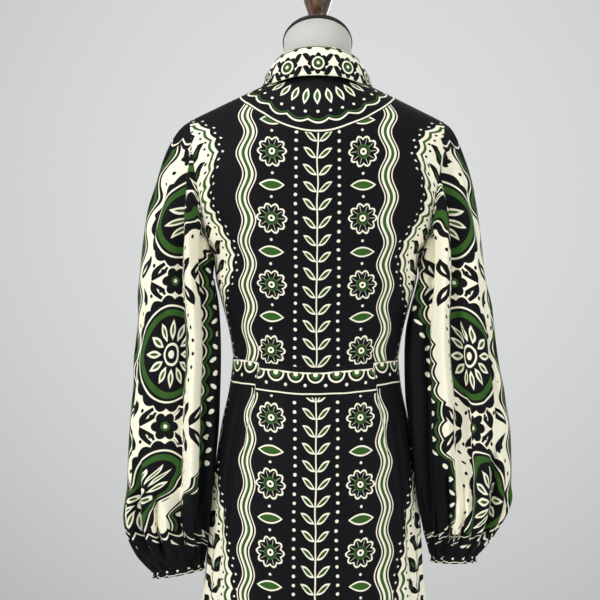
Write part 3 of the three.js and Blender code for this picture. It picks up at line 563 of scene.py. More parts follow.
def bodice_point(face, across, up):
    """A point of a bodice panel: across -1 to 1 between its sides, up 0 to 1."""
    across, up = np.broadcast_arrays(np.asarray(across, float), np.asarray(up, float))
    s = np.abs(across)
    low_height = UNDERARM * up / LOW_SHARE
    low_x, low_y = section_point(face, across, np.minimum(low_height, UNDERARM))
    middle, curve = NECK_MIDDLES[face]
    neck_x = NECK_POINT_X * np.sin(np.minimum(math.pi * s / (2 * TOP_NECK_SHARE), math.pi / 2))
    neck_z = mix(middle, NECK_POINT_HEIGHT, (neck_x / NECK_POINT_X) ** curve)
    seam_share = np.maximum(s - TOP_NECK_SHARE, 0) / (1 - TOP_NECK_SHARE)
    seam_x = mix(NECK_POINT_X, SHOULDER_END, seam_share)
    top_x = np.where(s >= TOP_NECK_SHARE, seam_x, neck_x)
    top_z = np.where(s >= TOP_NECK_SHARE, shoulder_line(seam_x), neck_z)
    rise = (1 - np.cos(math.pi * np.maximum(up - LOW_SHARE, 0) / (1 - LOW_SHARE))) / 2
    edge_height = mix(UNDERARM, shoulder_line(SHOULDER_END), rise)
    edge = read_table(ARMHOLES, face - 1, edge_height)
    round_share = np.sin(s * math.pi / 2) ** (2 / BODY_POWER)
    x = edge * mix(round_share, top_x / SHOULDER_END, rise)
    z = mix(UNDERARM, top_z, rise)
    y = FACING[face] * body_depth(face, x, z)
    is_low = up <= LOW_SHARE
    return np.stack(
        [
            np.where(is_low, low_x, x * np.sign(across)),
            np.where(is_low, low_y, y),
            np.where(is_low, low_height, z),
        ],
        -1,
    )


def off_middle(across):
    """Shares across, with 0 left out, where a panel's side would be unknown."""
    return np.where(np.abs(across) < 1e-6, 1e-6, across)


def keep_side_gap(points, face):
    """Moves what lies too near the side seams back from the panel beyond them."""
    near = np.abs(points[..., 1]) < SIDE_GAP / 2
    points[..., 1][near] = FACING[face] * SIDE_GAP / 2


def unit(vectors):
    """The vectors at a length of 1."""
    return vectors / np.maximum(np.linalg.norm(vectors, axis=-1, keepdims=True), 1e-9)


def normals_of(points, outward, closed=False):
    """Unit normals of a grid of points, turned towards the outward vectors."""
    if closed:
        wide = np.concatenate([points[:, -1:], points, points[:, :1]], 1)
        across = (wide[:, 2:] - wide[:, :-2]) / 2
    else:
        across = np.gradient(points, axis=1)
    normal = unit(np.cross(across, np.gradient(points, axis=0)))
    return normal * np.sign((normal * outward).sum())


def away_from_middle(points):
    """Which way is out of the body: sideways, and upwards too above the chest."""
    out = points.copy()
    out[..., 2] = np.maximum(points[..., 2] - 300, 0)
    return out


def chart_of(folded, plain, centre):
    """The grid laid flat: metres across from a column, and along from the first row."""
    step = np.diff(folded, axis=1)
    across = np.zeros(folded.shape[:2])
    across[:, 1:] = np.cumsum(np.hypot(step[..., 0], step[..., 1]), 1)
    across -= across[:, [centre]]
    step = np.diff(plain, axis=0)
    along = np.zeros(folded.shape[:2])
    along[1:] = np.cumsum(np.hypot(step[..., 1], step[..., 2]), 0)
    return np.stack([across, along], -1) / 1000


def cloth_piece(name, outer, inner, chart, finish, closed=False):
    """A thin wall of cloth between two grids of points, with the flat chart as its map."""
    rows, columns = outer.shape[:2]
    point = np.arange(rows * columns).reshape(rows, columns)
    place = np.arange(rows * chart.shape[1]).reshape(rows, -1)
    if closed:
        point = np.hstack([point, point[:, :1]])
    under = point + rows * columns

    def loops(front, back):
        sides = [
            (front[:-1, :-1], front[:-1, 1:], front[1:, 1:], front[1:, :-1]),
            (back[:-1, :-1], back[1:, :-1], back[1:, 1:], back[:-1, 1:]),
            (front[0, :-1], back[0, :-1], back[0, 1:], front[0, 1:]),
            (front[-1, :-1], front[-1, 1:], back[-1, 1:], back[-1, :-1]),
        ]
        if not closed:
            sides.append((front[:-1, 0], front[1:, 0], back[1:, 0], back[:-1, 0]))
            sides.append((front[:-1, -1], back[:-1, -1], back[1:, -1], front[1:, -1]))
        return np.concatenate([np.stack(side, -1).reshape(-1, 4) for side in sides])

    points = np.vstack([outer.reshape(-1, 3), inner.reshape(-1, 3)])
    piece, turned = new_piece(name, points, loops(point, under).tolist(), finish, CLOTH_SHARP)
    places = loops(place, place)
    if turned:
        places = places[:, ::-1]
    layer = piece.data.uv_layers.new(name="cloth")
    layer.data.foreach_set("uv", chart.reshape(-1, 2)[places.ravel()].ravel())
    inside = piece.data.attributes.new("inside", "FLOAT", "POINT")
    inside.data.foreach_set("value", np.repeat([0.0, 1.0], rows * columns))
    return piece


def seam_fade(share):
    """0 at a seam and 1 a little way in."""
    return eased(share / 0.03)


INK, CREAM, GREEN = linear(12, 13, 18), linear(254, 249, 226), linear(55, 94, 38)
PRINT_EDGE, PRINT_SWAY = 0.5, 7  # how soft the print's edges are, and how far they wander
WEAVE_PITCH = 0.9


def inked(distance):
    """1 inside a shape that is drawn on the cloth, from a point's distance to it."""
    return distance.math("MULTIPLY_ADD", -1 / PRINT_EDGE, 0.5, clamp=True)


def printed(cloth, *shapes):
    """Prints shapes onto the cloth in turn, each a distance and a colour."""
    for distance, colour in shapes:
        cloth = inked(distance).over(cloth, colour)
    return cloth


def length(x, y):
    return (x * x + y * y).math("SQRT")


def around(across, up):
    """How far off a place is, and at which turn."""
    return length(across, up), up.math("ARCTAN2", across)


def scalloped(distance, turn, scallops, depth):
    """A round outline with scallops, two for each wave of the turn."""
    return distance - abs((turn * scallops).math("COSINE")) * depth


def leaf_pairs(along, across, reach, half_width, pitch, lean):
    """Distance to leaves that stand in pairs on a stem, across being the way from the stem."""
    beside = abs((along - across * lean).each(pitch))
    return (beside - across.wave(2 * reach) * half_width).max(across - reach)


def petals_round(turn, away, count, low, high, half_width):
    """Distance to a ring of petals between two distances from its middle."""
    beside = abs(turn.each(2 * math.pi / count)) * away
    petal = beside - (away - low).wave(2 * (high - low)) * half_width
    return petal.max(low - away).max(away - high)


def cotton(name, pattern, plain_colour):
    """Printed cotton: its print in millimetres on the flat chart, paler on the wrong side, with
    a plain weave and faint rumples."""
    material, start, shader = finish_of(
        name, 0.7, Sheen_Weight=0.015, Sheen_Roughness=0.4, Specular_IOR_Level=0.1
    )
    chart = start.node("ShaderNodeUVMap", {"uv_map": "cloth"}, {})
    flat = chart.vector("MULTIPLY", (1000, 1000, 1000))
    sway = chart.noise(16.0, 1.0, "Color").vector("SUBTRACT", (0.5, 0.5, 0.5))
    drawn = flat.vector("ADD", sway.vector("MULTIPLY", (PRINT_SWAY,) * 3))
    colour = pattern(abs(drawn.part("X")), drawn.part("Y"))
    wrong_side = start.node("ShaderNodeAttribute", {"attribute_name": "inside"}, {}, "Fac")
    colour = (wrong_side * 0.4).over(colour, plain_colour)
    uneven = chart.noise(90.0, 4.0)
    feed(shader, Base_Color=(uneven * 0.06).over(colour, linear(60, 56, 48)))
    feed(shader, Roughness=uneven * 0.2 + 0.56)
    warp, weft = flat.part("X").wave(WEAVE_PITCH), flat.part("Y").wave(WEAVE_PITCH)
    rumples = chart.noise(26.0, 4.0) * 1.9
    feed(shader, Normal=raised(start, warp * weft * 0.02 + rumples, 0.001, 0.8))
    return material


def medallion(across, up):
    """The shapes of one large scalloped oval with a ring of petals, from its middle."""
    away, turn = around(across * 1.34, up)
    rim = scalloped(away - 80, turn, 9, 6)
    petals = petals_round(turn, away, 12, 21, 51, 6)
    beads = length(away - 96, turn.each(2 * math.pi / 30) * 96) - 3
    return (
        (rim - 3, CREAM), (beads, INK), (rim - 1.5, CREAM), (rim, INK),
        (abs(away - 71) - 1.4, CREAM), (abs(away - 61) - 4.5, GREEN), (petals, CREAM),
        (petals + 3.6, GREEN), (away - 17, CREAM), (away - 13, INK), (away - 6, CREAM),
    )


def stem_and_flowers(cloth, x, y):
    """What stands in the middle of bodice and skirt: a leafy stem, beads, flowers, a ribbon."""
    leaves = leaf_pairs(y, x - 1, 20, 5.6, 25, 0.8)
    beads = length(x - 31, y.each(13)) - 2.4
    across, up = x - 66, (y - 20).each(96)
    away, turn = around(across, up)
    outline = scalloped(away - 18, turn, 5, 4.5)
    strokes = (abs((turn * 5).math("SINE")) * away - 1.2).max(10 - away).max(outline + 4.4)
    between = (y - 68).each(96)
    leaf = abs(between) + across * across * 0.022 - 8
    ribbon = abs(x - 104 + y.wave(64) * 5)
    return printed(
        cloth,
        (x - 1, CREAM), (leaves, CREAM), (leaves + 2.6, GREEN), (beads, CREAM),
        (outline, CREAM), (outline + 2.8, INK), (strokes, CREAM), (abs(away - 8.4) - 1.5, GREEN),
        (away - 5, CREAM), (away - 2, INK), (leaf, CREAM), (leaf + 2.4, GREEN),
        (length(across, abs(between) - 17) - 2, CREAM),
        (abs(ribbon - 9.8) - 0.9, CREAM), (ribbon - 6.2, CREAM), (ribbon - 2.4, GREEN),
    )


def pale_field(x, y, edge):
    """The pale side of the print, scalloped towards the middle, with dark leaves on it."""
    into = edge - x + abs(y.wave(44)) * 5
    stem = abs(into + 46)
    leaves = leaf_pairs(y, stem, 27, 9.5, 31, 0.8)
    return printed(
        INK,
        (into, CREAM), (abs(into + 8.5) - 2.3, GREEN), (length(into + 17, y.each(11)) - 2.1, INK),
        (stem - 1.2, INK), (leaves, INK), ((leaves + 7.6).max(stem - 18), GREEN),
        (length(into - 7, y.each(11)) - 1.7, CREAM),
    )


def bodice_print(x, y):
    """The pale sides, the middle stem, and a large half round of petals under the neck."""
    lift = y.math("MULTIPLY_ADD", 1 / 90, -300 / 90, clamp=True)
    cloth = pale_field(x, y, 146 - (y - 150).wave(200, "COSINE") * 19 + lift * 60)
    cloth = stem_and_flowers(cloth, x, y)
    away, turn = around(478 - y, x)
    scallops = scalloped(away - 119, turn, 12, 6)
    petals = petals_round(turn, away, 30, 66, 96, 5.2)
    beads = length(away - 107, turn.each(math.pi / 18) * 107) - 2.3
    return printed(
        cloth,
        (away - 140, INK), (abs(away - 137) - 1.2, CREAM), (abs(scallops) - 1.5, CREAM),
        (abs(scallops + 5) - 1, GREEN), (beads, CREAM), (petals, CREAM), (petals + 2.6, GREEN),
    )


bodice_cotton = cotton("printed_cotton_bodice", bodice_print, linear(150, 148, 138))


def bodice_panel(name, face, ends, columns, crease_rows):
    """One panel between two shares across, creased, as a thin wall of cloth."""
    across = np.linspace(*ends, columns)
    ups = [*np.linspace(LOW_SHARE * SEAM_GAP / UNDERARM, LOW_SHARE, 40)]
    ups += [*np.linspace(LOW_SHARE, 1, 68)[1:]]
    plain = bodice_point(face, off_middle(across)[None, :], np.array(ups)[:, None])
    plain[..., 2] += waist_dip(plain)
    keep_side_gap(plain, face)
    outward = away_from_middle(plain)
    normal = normals_of(plain, outward)
    side = 1 if face == BACK or ends[1] > 0.5 else -1
    risen = creases(open_ended(crease_rows[:RUNNING_ON]), side * plain[..., 0], plain[..., 2])
    risen += creases(crease_rows[RUNNING_ON:], side * plain[..., 0], plain[..., 2])
    fade = seam_fade(1 - np.abs(across))[None, :] * seam_fade(1 - np.array(ups))[:, None]
    seam = SEAM_SUNK * (1 - eased(np.array(ups) / 0.012))[:, None]
    folded = plain + normal * (risen * fade - seam)[..., None]
    centre = int(np.argmin(np.abs(across)))
    chart = chart_of(folded, plain, centre)
    inner = folded - normals_of(folded, outward) * CLOTH
    return cloth_piece(name, folded, inner, chart, bodice_cotton)


bodice_back = bodice_panel("bodice_back_cloth", BACK, (-1, 1), 133, BACK_CREASES)
stands_for(bodice_back, "printed_cotton", "bodice_back")
for side, ends in (("left", (-1, 0)), ("right", (0, 1))):
    front = bodice_panel(f"bodice_front_{side}_cloth", FRONT, ends, 67, FRONT_CREASES)
    stands_for(front, "printed_cotton", f"bodice_front_{side}")


# The skirt: one back and two fronts cut wider to the hem, sewn to the bodice at the waist. The
# back is shaped by two narrow darts below the waist. It hangs from there in long soft folds.
SKIRT_LENGTH = 980
HEM_TURN, HEM_THICK = 12, 0.7
# angle from the middle of the back, half the angle of the fold, its depth at the hem, its top
SKIRT_FOLDS = (
    (-164, 13, 17, -300), (-138, 15, 22, -160), (-112, 13, 18, -90), (-87, 12, 20, -60),
    (-62, 14, 19, -150), (-36, 13, 15, -380), (-11, 12, 12, -520), (17, 14, 14, -470),
    (43, 13, 17, -330), (66, 12, 20, -140), (90, 13, 19, -60), (115, 14, 21, -110),
    (141, 13, 17, -190), (166, 12, 16, -320),
)
# top and bottom above the waist, the angle at both, its reach to either side, its height
SKIRT_CREASES = (
    (-30, -520, -58, -66, 3, 7, -4), (-120, -900, -74, -79, 7, 2.5, 5),
    (-70, -420, -47, -52, 6, 3, 2.5), (-20, -300, -80, -84, 3, 5, -3),
    (-60, -640, 58, 67, 6, 2.5, -4), (-90, -960, 75, 80, 2.5, 7, 5),
    (-40, -380, 48, 54, 3, 6, 2.5), (-30, -260, 82, 86, 5, 3, -3),
    (-260, -960, -24, -21, 5, 8, -3), (-300, -970, 4, 2, 8, 5, 2.5),
    (-240, -900, 29, 33, 5, 7, -3), (-15, -130, -18, -19, 5, 5, 0.8),
    (-12, -110, 14, 15, 5, 6, 0.8), (-60, -700, 124, 129, 3, 6, -4),
    (-90, -800, -123, -128, 6, 3, -4), (-40, -500, 152, 156, 4, 6, 3),
    (-50, -450, -151, -155, 6, 4, 3), (-20, -240, 104, 108, 4, 5, -2.5),
    (-20, -220, -102, -106, 4, 5, -2.5), (-25, -200, 136, 139, 4, 4, 2),
    (-25, -190, -134, -138, 4, 4, 2),
)
# the darts of the back: angle at the waist and at the point, height of the point, cloth taken in
DART_TOP, DART_POINT, DART_END, DART_TAKEN = 40.5, 44, -150, 16
DART_DEGREE, DART_SLANT = 2.2, 0.4  # width of a degree beside the dart, and slant of its cloth
# depth and half width of a dart's seam line, and of the swell beside it
DART_LINE, DART_SWELL = (1.4, 1.6), (2.2, 9)


def skirt_rise(angle, height):
    """How far the folds stand out, at an angle from the middle of the back in degrees."""
    risen = np.zeros(np.broadcast(angle, height).shape)
    for middle, spread, depth, top in SKIRT_FOLDS:
        off = ((angle - middle + 540) % 360 - 180) / spread
        shape = np.where(np.abs(off) < 1, np.cos(off * math.pi / 2) ** 2, 0)
        risen += depth * eased((top - height) / (top + SKIRT_LENGTH)) * shape
    return risen


def bell(off, half_width):
    """1 in the middle, falling softly to 0 beyond the half width."""
    return np.exp(-((off / half_width) ** 2))


def skirt_base(face, across, height):
    """A point of the skirt without its folds, and the level way out of it."""
    x, y = section_point(face, across, height)
    half_width, depth = body_size(WIDE, height), body_size(face, height)
    out = np.stack([x / half_width**2, y / depth**2, np.zeros_like(x)], -1)
    out /= np.linalg.norm(out, axis=-1, keepdims=True)
    return np.stack([x, y, np.broadcast_to(height, x.shape)], -1), out


def skirt_print(x, y):
    """The pale sides, ovals on their edge, the middle stem, and bands at waist and hem."""
    swell = y.math("MULTIPLY_ADD", 1 / 230, 330 / 230, clamp=True)
    swell = swell * swell * (3 - 2 * swell)
    edge = 126 + swell * 62 + (1 - (y + 330).min(0.0).wave(420, "COSINE")) * 14
    cloth = pale_field(x, y, edge)
    deep = edge + 84 - x
    for distance, colour in medallion(x - 268, (y - 70).each(212)):
        cloth = inked(distance.max(deep).max(y + 455)).over(cloth, colour)
    cloth = stem_and_flowers(cloth, x, y)
    arch = length(x.each(30), y + 11)
    joints = length((x - 15).each(30), y + 27) - 2.3
    hem = length(x.each(52), y + 968)
    return printed(
        cloth,
        (abs(y + 22) - 22, INK), (abs(y + 9) - 1.2, CREAM),
        (abs(arch - 11.5).max(y + 9) - 1.3, CREAM), ((arch - 7.5).max(y + 9), GREEN),
        ((arch - 3.5).max(y + 9), CREAM), (joints, CREAM), (abs(y + 39) - 1, CREAM),
        (y + 934, INK), (abs(y + 930) - 1.4, CREAM), (abs(hem - 20) - 1.6, CREAM),
        (abs(hem - 13) - 2, GREEN), (hem - 6, CREAM),
    )


skirt_cotton = cotton("printed_cotton_skirt", skirt_print, linear(150, 148, 138))


def skirt_panel(name, face, ends, columns):
    """One panel from waist to hem between two shares across, in its folds."""
    across = np.linspace(*ends, columns)
    share = off_middle(across)[None, :]
    heights = -np.concatenate([np.linspace(0, 12, 8), np.linspace(12, SKIRT_LENGTH, 186)[1:]])
    level = heights[:, None]
    plain, out = skirt_base(face, share, level)
    angle = 90 * share if face == BACK else 180 - 90 * share
    risen = skirt_rise(angle, level)
    risen = risen + creases(SKIRT_CREASES, angle, level, 360) * seam_fade(1 - np.abs(share))
    seam = SEAM_SUNK * (1 - eased(-level / 4))
    hem = HEM_THICK * eased((-level - SKIRT_LENGTH + HEM_TURN) / 1.5)
    taken = np.zeros_like(risen)
    if face == BACK:
        to_point = np.clip(level / DART_END, 0, 1)
        off = (np.abs(angle) - mix(DART_TOP, DART_POINT, to_point)) * DART_DEGREE
        left = 1 - to_point
        (line_depth, line_half), (swell, swell_half) = DART_LINE, DART_SWELL
        risen = risen - line_depth * bell(off, line_half) * eased(left / 0.3)
        risen = risen + swell * bell(off, swell_half) * eased(left / 0.3) * eased(-level / 40)
        taken = DART_TAKEN * left * eased(off / 1.2 + 0.5)
    plain[..., 2] += waist_dip(plain)
    folded = plain + out * (risen - seam + hem)[..., None]
    for grid in (plain, folded):
        keep_side_gap(grid, face)
    centre = int(np.argmin(np.abs(across)))
    chart = chart_of(folded, plain, centre)
    chart[..., 1] *= -1
    chart[..., 0] += np.sign(across)[None, :] * taken / 1000
    chart[..., 1] -= taken * DART_SLANT / 1000
    inner = folded - normals_of(folded, out) * CLOTH
    return cloth_piece(name, folded, inner, chart, skirt_cotton)


skirt_back = skirt_panel("skirt_back_cloth", BACK, (-1, 1), 169)
stands_for(skirt_back, "printed_cotton", "skirt_back")
for side, ends in (("left", (-1, 0)), ("right", (0, 1))):
    front = skirt_panel(f"skirt_front_{side}_cloth", FRONT, ends, 85)
    stands_for(front, "printed_cotton", f"skirt_front_{side}")


# The sleeves: each one full piece with a seam under the arm, lightly gathered into the armhole
# and tightly at the wrist. Empty, they hang flat beside the body in long sharp folds and
# balloon over the cuff.
SLEEVE_CAP = 0.26  # of the way down a sleeve: the end of its cap, just below the underarm
SLEEVE_TO_BODY, FOLD_TO_BODY, SOFT_TO_BODY = 3.5, 1.2, 1.5
GATHERS, GATHER_DEPTH = 14, 2.2
HEAD_GATHERS, HEAD_DEPTH, HEAD_HALF = 34, 0.9, 55
# share down from the cap, height, middle, half width, half depth, shift to the front, drop of
# the outer side
SLEEVE_RINGS = (
    (0.0, 120, 204, 55.5, 52, -8, 0), (0.12, 60, 204, 61, 50, -12, 0),
    (0.24, 5, 206, 65, 48, -15, 0), (0.38, -60, 212, 70, 48, -19, 0),
    (0.6, -165, 216, 71.5, 50, -23, 0), (0.7, -212, 217, 69, 50, -23, 2),
    (0.8, -250, 215, 64.5, 47, -21, 4), (0.9, -281, 208.5, 55, 40, -19, 7),
    (0.96, -297, 203, 46.5, 33, -17, 8), (1.0, -304, 200, 42, 27, -16, 8),
)
# heights and angles of the long fold that starts at the back of each armhole
LONG_FOLD = {
    "left": ((-300, 112.5), (0, 104.5), (110, 100), (180, 95), (240, 82), (290, 64), (325, 48)),
    "right": ((-300, 99.5), (0, 97.5), (110, 96), (180, 92), (240, 80), (290, 63), (325, 48)),
}
LONG_ROLL = {side: tuple((z, angle + 8) for z, angle in path) for side, path in LONG_FOLD.items()}
# top and bottom above the waist, the angle at both or a path of its own (0 outside, 90 back,
# 180 at the body, 270 in front), its reach to either side in degrees, its height
FRONT_FOLDS = (
    (120, -270, 213, 213, 15, 15, -8), (200, -280, 248, 244, 18, 16, 8),
    (190, -255, 276, 272, 5, 18, -11), (240, -290, 305, 303, 20, 22, 6),
    (-170, -302, 288, 290, 6, 4, -5), (-190, -303, 262, 260, 5, 5, 4),
    (-200, -303, 318, 320, 5, 6, -4), (-205, -303, 338, 337, 5, 5, -3),
    (-190, -303, 232, 230, 5, 6, -4),
)
SLEEVE_FOLDS = {
    "left": FRONT_FOLDS + (
        (325, -300, LONG_FOLD["left"], 32, 3, -15), (325, -296, LONG_ROLL["left"], 6, 18, 10),
        (232, -276, 133, 140, 12, 8, -12), (150, -270, 152, 152, 9, 10, 4),
        (240, -290, 52, 48, 24, 22, 6), (-135, -303, 57, 55, 15, 3, -14),
        (-150, -303, 64, 62, 5, 9, 7), (-180, -303, 76, 73, 3, 9, -12),
        (-175, -303, 35, 33, 12, 3, -11), (-185, -303, 40, 38, 4, 8, 6),
        (-210, -303, 90, 88, 7, 7, 6), (-200, -303, 14, 14, 8, 6, -7),
        (110, -140, 68, 82, 10, 8, -6), (-20, -200, 30, 40, 12, 7, -6),
        (305, 180, 84, 92, 9, 6, -5), (-210, -303, 126, 128, 4, 6, -9),
        (-200, -303, 146, 147, 5, 5, -7), (290, 130, 40, 46, 14, 9, -3.5),
        (40, -90, 20, 24, 12, 9, -3), (10, -240, 0, 0, 70, 70, -9), (270, 50, 0, 0, 60, 60, 5),
    ),
    "right": FRONT_FOLDS + (
        (325, -250, LONG_FOLD["right"], 32, 3, -14), (325, -270, LONG_ROLL["right"], 5, 20, 9),
        (240, -280, 133, 139, 13, 7, -13), (150, -250, 153, 151, 8, 10, 4),
        (76, -294, 81, 74, 3, 19, -12), (70, -294, 71, 65, 14, 5, 7),
        (46, -130, 36, 42, 13, 5, -7), (-135, -303, 47, 45, 3, 13, -13),
        (-150, -303, 40, 38, 10, 4, 6), (-186, -303, 90, 88, 5, 7, -10),
        (-170, -303, 112, 110, 10, 3, -12), (-205, -303, 28, 27, 8, 6, -8),
        (-200, -303, 12, 12, 7, 6, 5), (240, -60, 60, 56, 18, 14, 5),
        (308, 180, 82, 88, 8, 6, -5), (-205, -303, 130, 131, 5, 6, -9),
        (-200, -303, 150, 149, 5, 5, -7), (280, 140, 34, 40, 12, 9, -3.5),
        (150, -60, 16, 20, 12, 9, -3), (340, 50, 0, 0, 60, 60, -7),
        (-80, -270, 0, 0, 60, 60, 4), (110, -270, 180, 180, 60, 60, 9),
    ),
}
# top and bottom above the waist, the angle at both or a path of its own, and the width of the
# cloth that is hidden in the fold
TUCKS = {
    "left": (
        (330, -300, LONG_FOLD["left"], 24), (330, 105, LONG_FOLD["left"], 17),
        (-150, -303, 58.5, 56.5, 14), (-186, -303, 74.5, 71.5, 9), (-180, -303, 33.5, 31.5, 10),
    ),
    "right": (
        (330, -280, LONG_FOLD["right"], 24), (330, 105, LONG_FOLD["right"], 17),
        (-60, -290, 77.1, 72.5, 14), (36, -120, 38.5, 42.5, 7),
        (-150, -303, 45.5, 43.5, 12), (-176, -303, 110.5, 108.5, 10),
    ),
}
TUCK_BESIDE, TUCK_EDGE = 1.2, 1.6  # degrees from the fold's line, and over which it changes
TUCK_BEGIN, TUCK_END = 40, 30  # heights over which a tuck begins at its top and ends
GATHERED_BELOW = -270  # a tuck that reaches down here runs on into the cuff
WRIST_OUTER, WRIST_FROM, WRIST_REACH = 242, 0.78, 0.22
# how far each wrist is drawn towards its outer side, how much that side is raised, its drop
WRIST_HANG = {"left": (0, 0, 0), "right": (0.16, 8, 4)}
SLEEVE_COLUMNS, CAP_ROWS, ARM_ROWS, CAP_HEIGHT = 232, 42, 118, 242


def sine(degrees):
    return np.sin(np.radians(degrees))


def cosine(degrees):
    return np.cos(np.radians(degrees))


def armhole_point(degrees):
    """The armhole seam: 0 at the shoulder, 90 at the back, 180 under the arm, 270 in front."""
    turn = np.asarray(degrees, float) % 360
    back = bodice_point(BACK, 1.0, mix(LOW_SHARE, 1, np.clip(1 - turn / 180, 0, 1)))
    front = bodice_point(FRONT, 1.0, mix(LOW_SHARE, 1, np.clip(turn / 180 - 1, 0, 1)))
    return np.where((turn <= 180)[..., None], back, front)


def armhole_frame(degrees):
    """The bodice's outward normal at the armhole seam, and the way on beyond it."""
    turn = np.asarray(degrees, float) % 360
    normals, step = [], 0.002
    for face, share in ((BACK, 1 - turn / 180), (FRONT, turn / 180 - 1)):
        up = mix(LOW_SHARE, 1, np.clip(share, 0, 1))
        seam = bodice_point(face, 1.0, up)
        inward = seam - bodice_point(face, 1 - 2 * step, up)
        above = bodice_point(face, 1.0, np.minimum(up + step, 1))
        climb = above - bodice_point(face, 1.0, up - step)
        normal = unit(np.cross(inward, climb))
        outward = away_from_middle(seam)
        facing = np.einsum("...k,...k->...", normal, outward)
        normals.append(normal * np.where(facing < 0, -1, 1)[..., None])
    normal = np.where((turn <= 180)[..., None], *normals)
    normal = np.where((np.abs(turn - 180) < 1e-6)[..., None], (1.0, 0.0, 0.0), normal)
    along = armhole_point(degrees - 1) - armhole_point(degrees + 1)
    return normal, unit(np.cross(along, normal))


def sleeve_lean(degrees):
    """How far out of the bodice's surface the sleeve leaves its seam."""
    under = (1 - np.cos(np.radians(degrees))) / 2
    return np.radians(mix(-8, 180, under**1.7))


def clear_of_body(x, y, height, room):
    """Keeps a sleeve beside the body and its skirt folds, with a soft change of direction."""
    clear = room + skirt_rise(90.0, height)
    body_wide = body_size(WIDE, np.minimum(height, UNDERARM)) + clear
    body_deep = np.where(y < 0, body_size(BACK, height), body_size(FRONT, height)) + clear
    return softly_larger(x, section_depth(y, body_deep, body_wide), SOFT_TO_BODY)


def sleeve_ring(degrees, down, lift):
    """A point of the sleeve below the underarm, without its folds."""
    angle = np.radians(degrees)
    height, middle, wide, deep, shift, drop = (
        read_table(SLEEVE_RINGS, column, down) for column in range(1, 7)
    )
    height = height + lift * eased(down)
    x = middle + wide * np.cos(angle)
    y = shift - deep * np.sin(angle)
    return np.stack([x, y, height - drop * np.cos(angle)], -1)


def kept_clear(points, room):
    """The points of a sleeve, moved out to where they are clear of the body."""
    beside = points.copy()
    beside[..., 0] = clear_of_body(points[..., 0], points[..., 1], points[..., 2], room)
    return beside


def sleeve_base(degrees, downs, lift):
    """Grid of the sleeve without its folds, from the armhole to the wrist."""
    normal, beyond = armhole_frame(degrees)
    lean = sleeve_lean(degrees)[:, None]
    past = np.maximum(lean - math.pi / 2, 0)
    begin = armhole_point(degrees) + beyond * SEAM_GAP * np.cos(past) * 1.4
    begin += normal * SEAM_GAP * np.sin(past) * 1.5
    leave = beyond * np.cos(lean) + normal * np.sin(lean)
    leave[:, 2] -= 0.9 * sine(degrees) ** 2
    leave = unit(leave)
    end = kept_clear(sleeve_ring(degrees, 0.0, lift), SLEEVE_TO_BODY)
    arrive = unit(kept_clear(sleeve_ring(degrees, 0.03, lift), SLEEVE_TO_BODY) - end)
    reach = np.linalg.norm(begin - end, axis=-1, keepdims=True)
    rows = []
    for down in downs:
        if down >= SLEEVE_CAP:
            rows.append(sleeve_ring(degrees, (down - SLEEVE_CAP) / (1 - SLEEVE_CAP), lift))
            continue
        t = down / SLEEVE_CAP
        rise = t * t * (3 - 2 * t)
        row = begin * (1 - rise) + end * rise + leave * t * (1 - t) ** 2 * reach * 0.78
        rows.append(row + arrive * t * t * (t - 1) * reach)
    return np.array(rows)


def sleeve_print(x, y):
    """Ovals and round flowers in turn down the sleeve, leafy sprays, and dark edges."""
    across, up = x - 90, (y - 140).each(212)
    other = (y - 246).each(212)
    between = abs(other)
    spray = leaf_pairs(across, between, 36, 13, 38, 0.9)
    flower, turn = around(across, other)
    star = scalloped(flower - 15, turn, 3, 6)
    outer = x - 22 + y.wave(72) * 7
    inner = 188 - x + abs(y.wave(56)) * 8
    wrist = 606 - y + abs(x.wave(54)) * 9
    head = y - 40 - abs(x.wave(48)) * 9
    return printed(
        CREAM,
        (spray, INK), ((spray + 10.5).max(between - 28), CREAM),
        *medallion(across, up),
        (star - 2.5, CREAM), (star, INK), (flower - 7, GREEN), (flower - 3, CREAM),
        (outer - 7, CREAM), (outer, INK), (abs(outer + 12) - 3, GREEN), (abs(outer + 5) - 1, CREAM),
        (inner, INK), (abs(inner + 6) - 1.3, CREAM), (abs(inner + 13) - 2.2, GREEN),
        (length(inner + 24, y.each(19)) - 4, CREAM),
        (wrist, INK), (abs(wrist + 8) - 1.3, CREAM), (length(wrist + 19, x.each(23)) - 3.2, CREAM),
        (head, INK), (abs(head + 7) - 1.3, CREAM),
    )


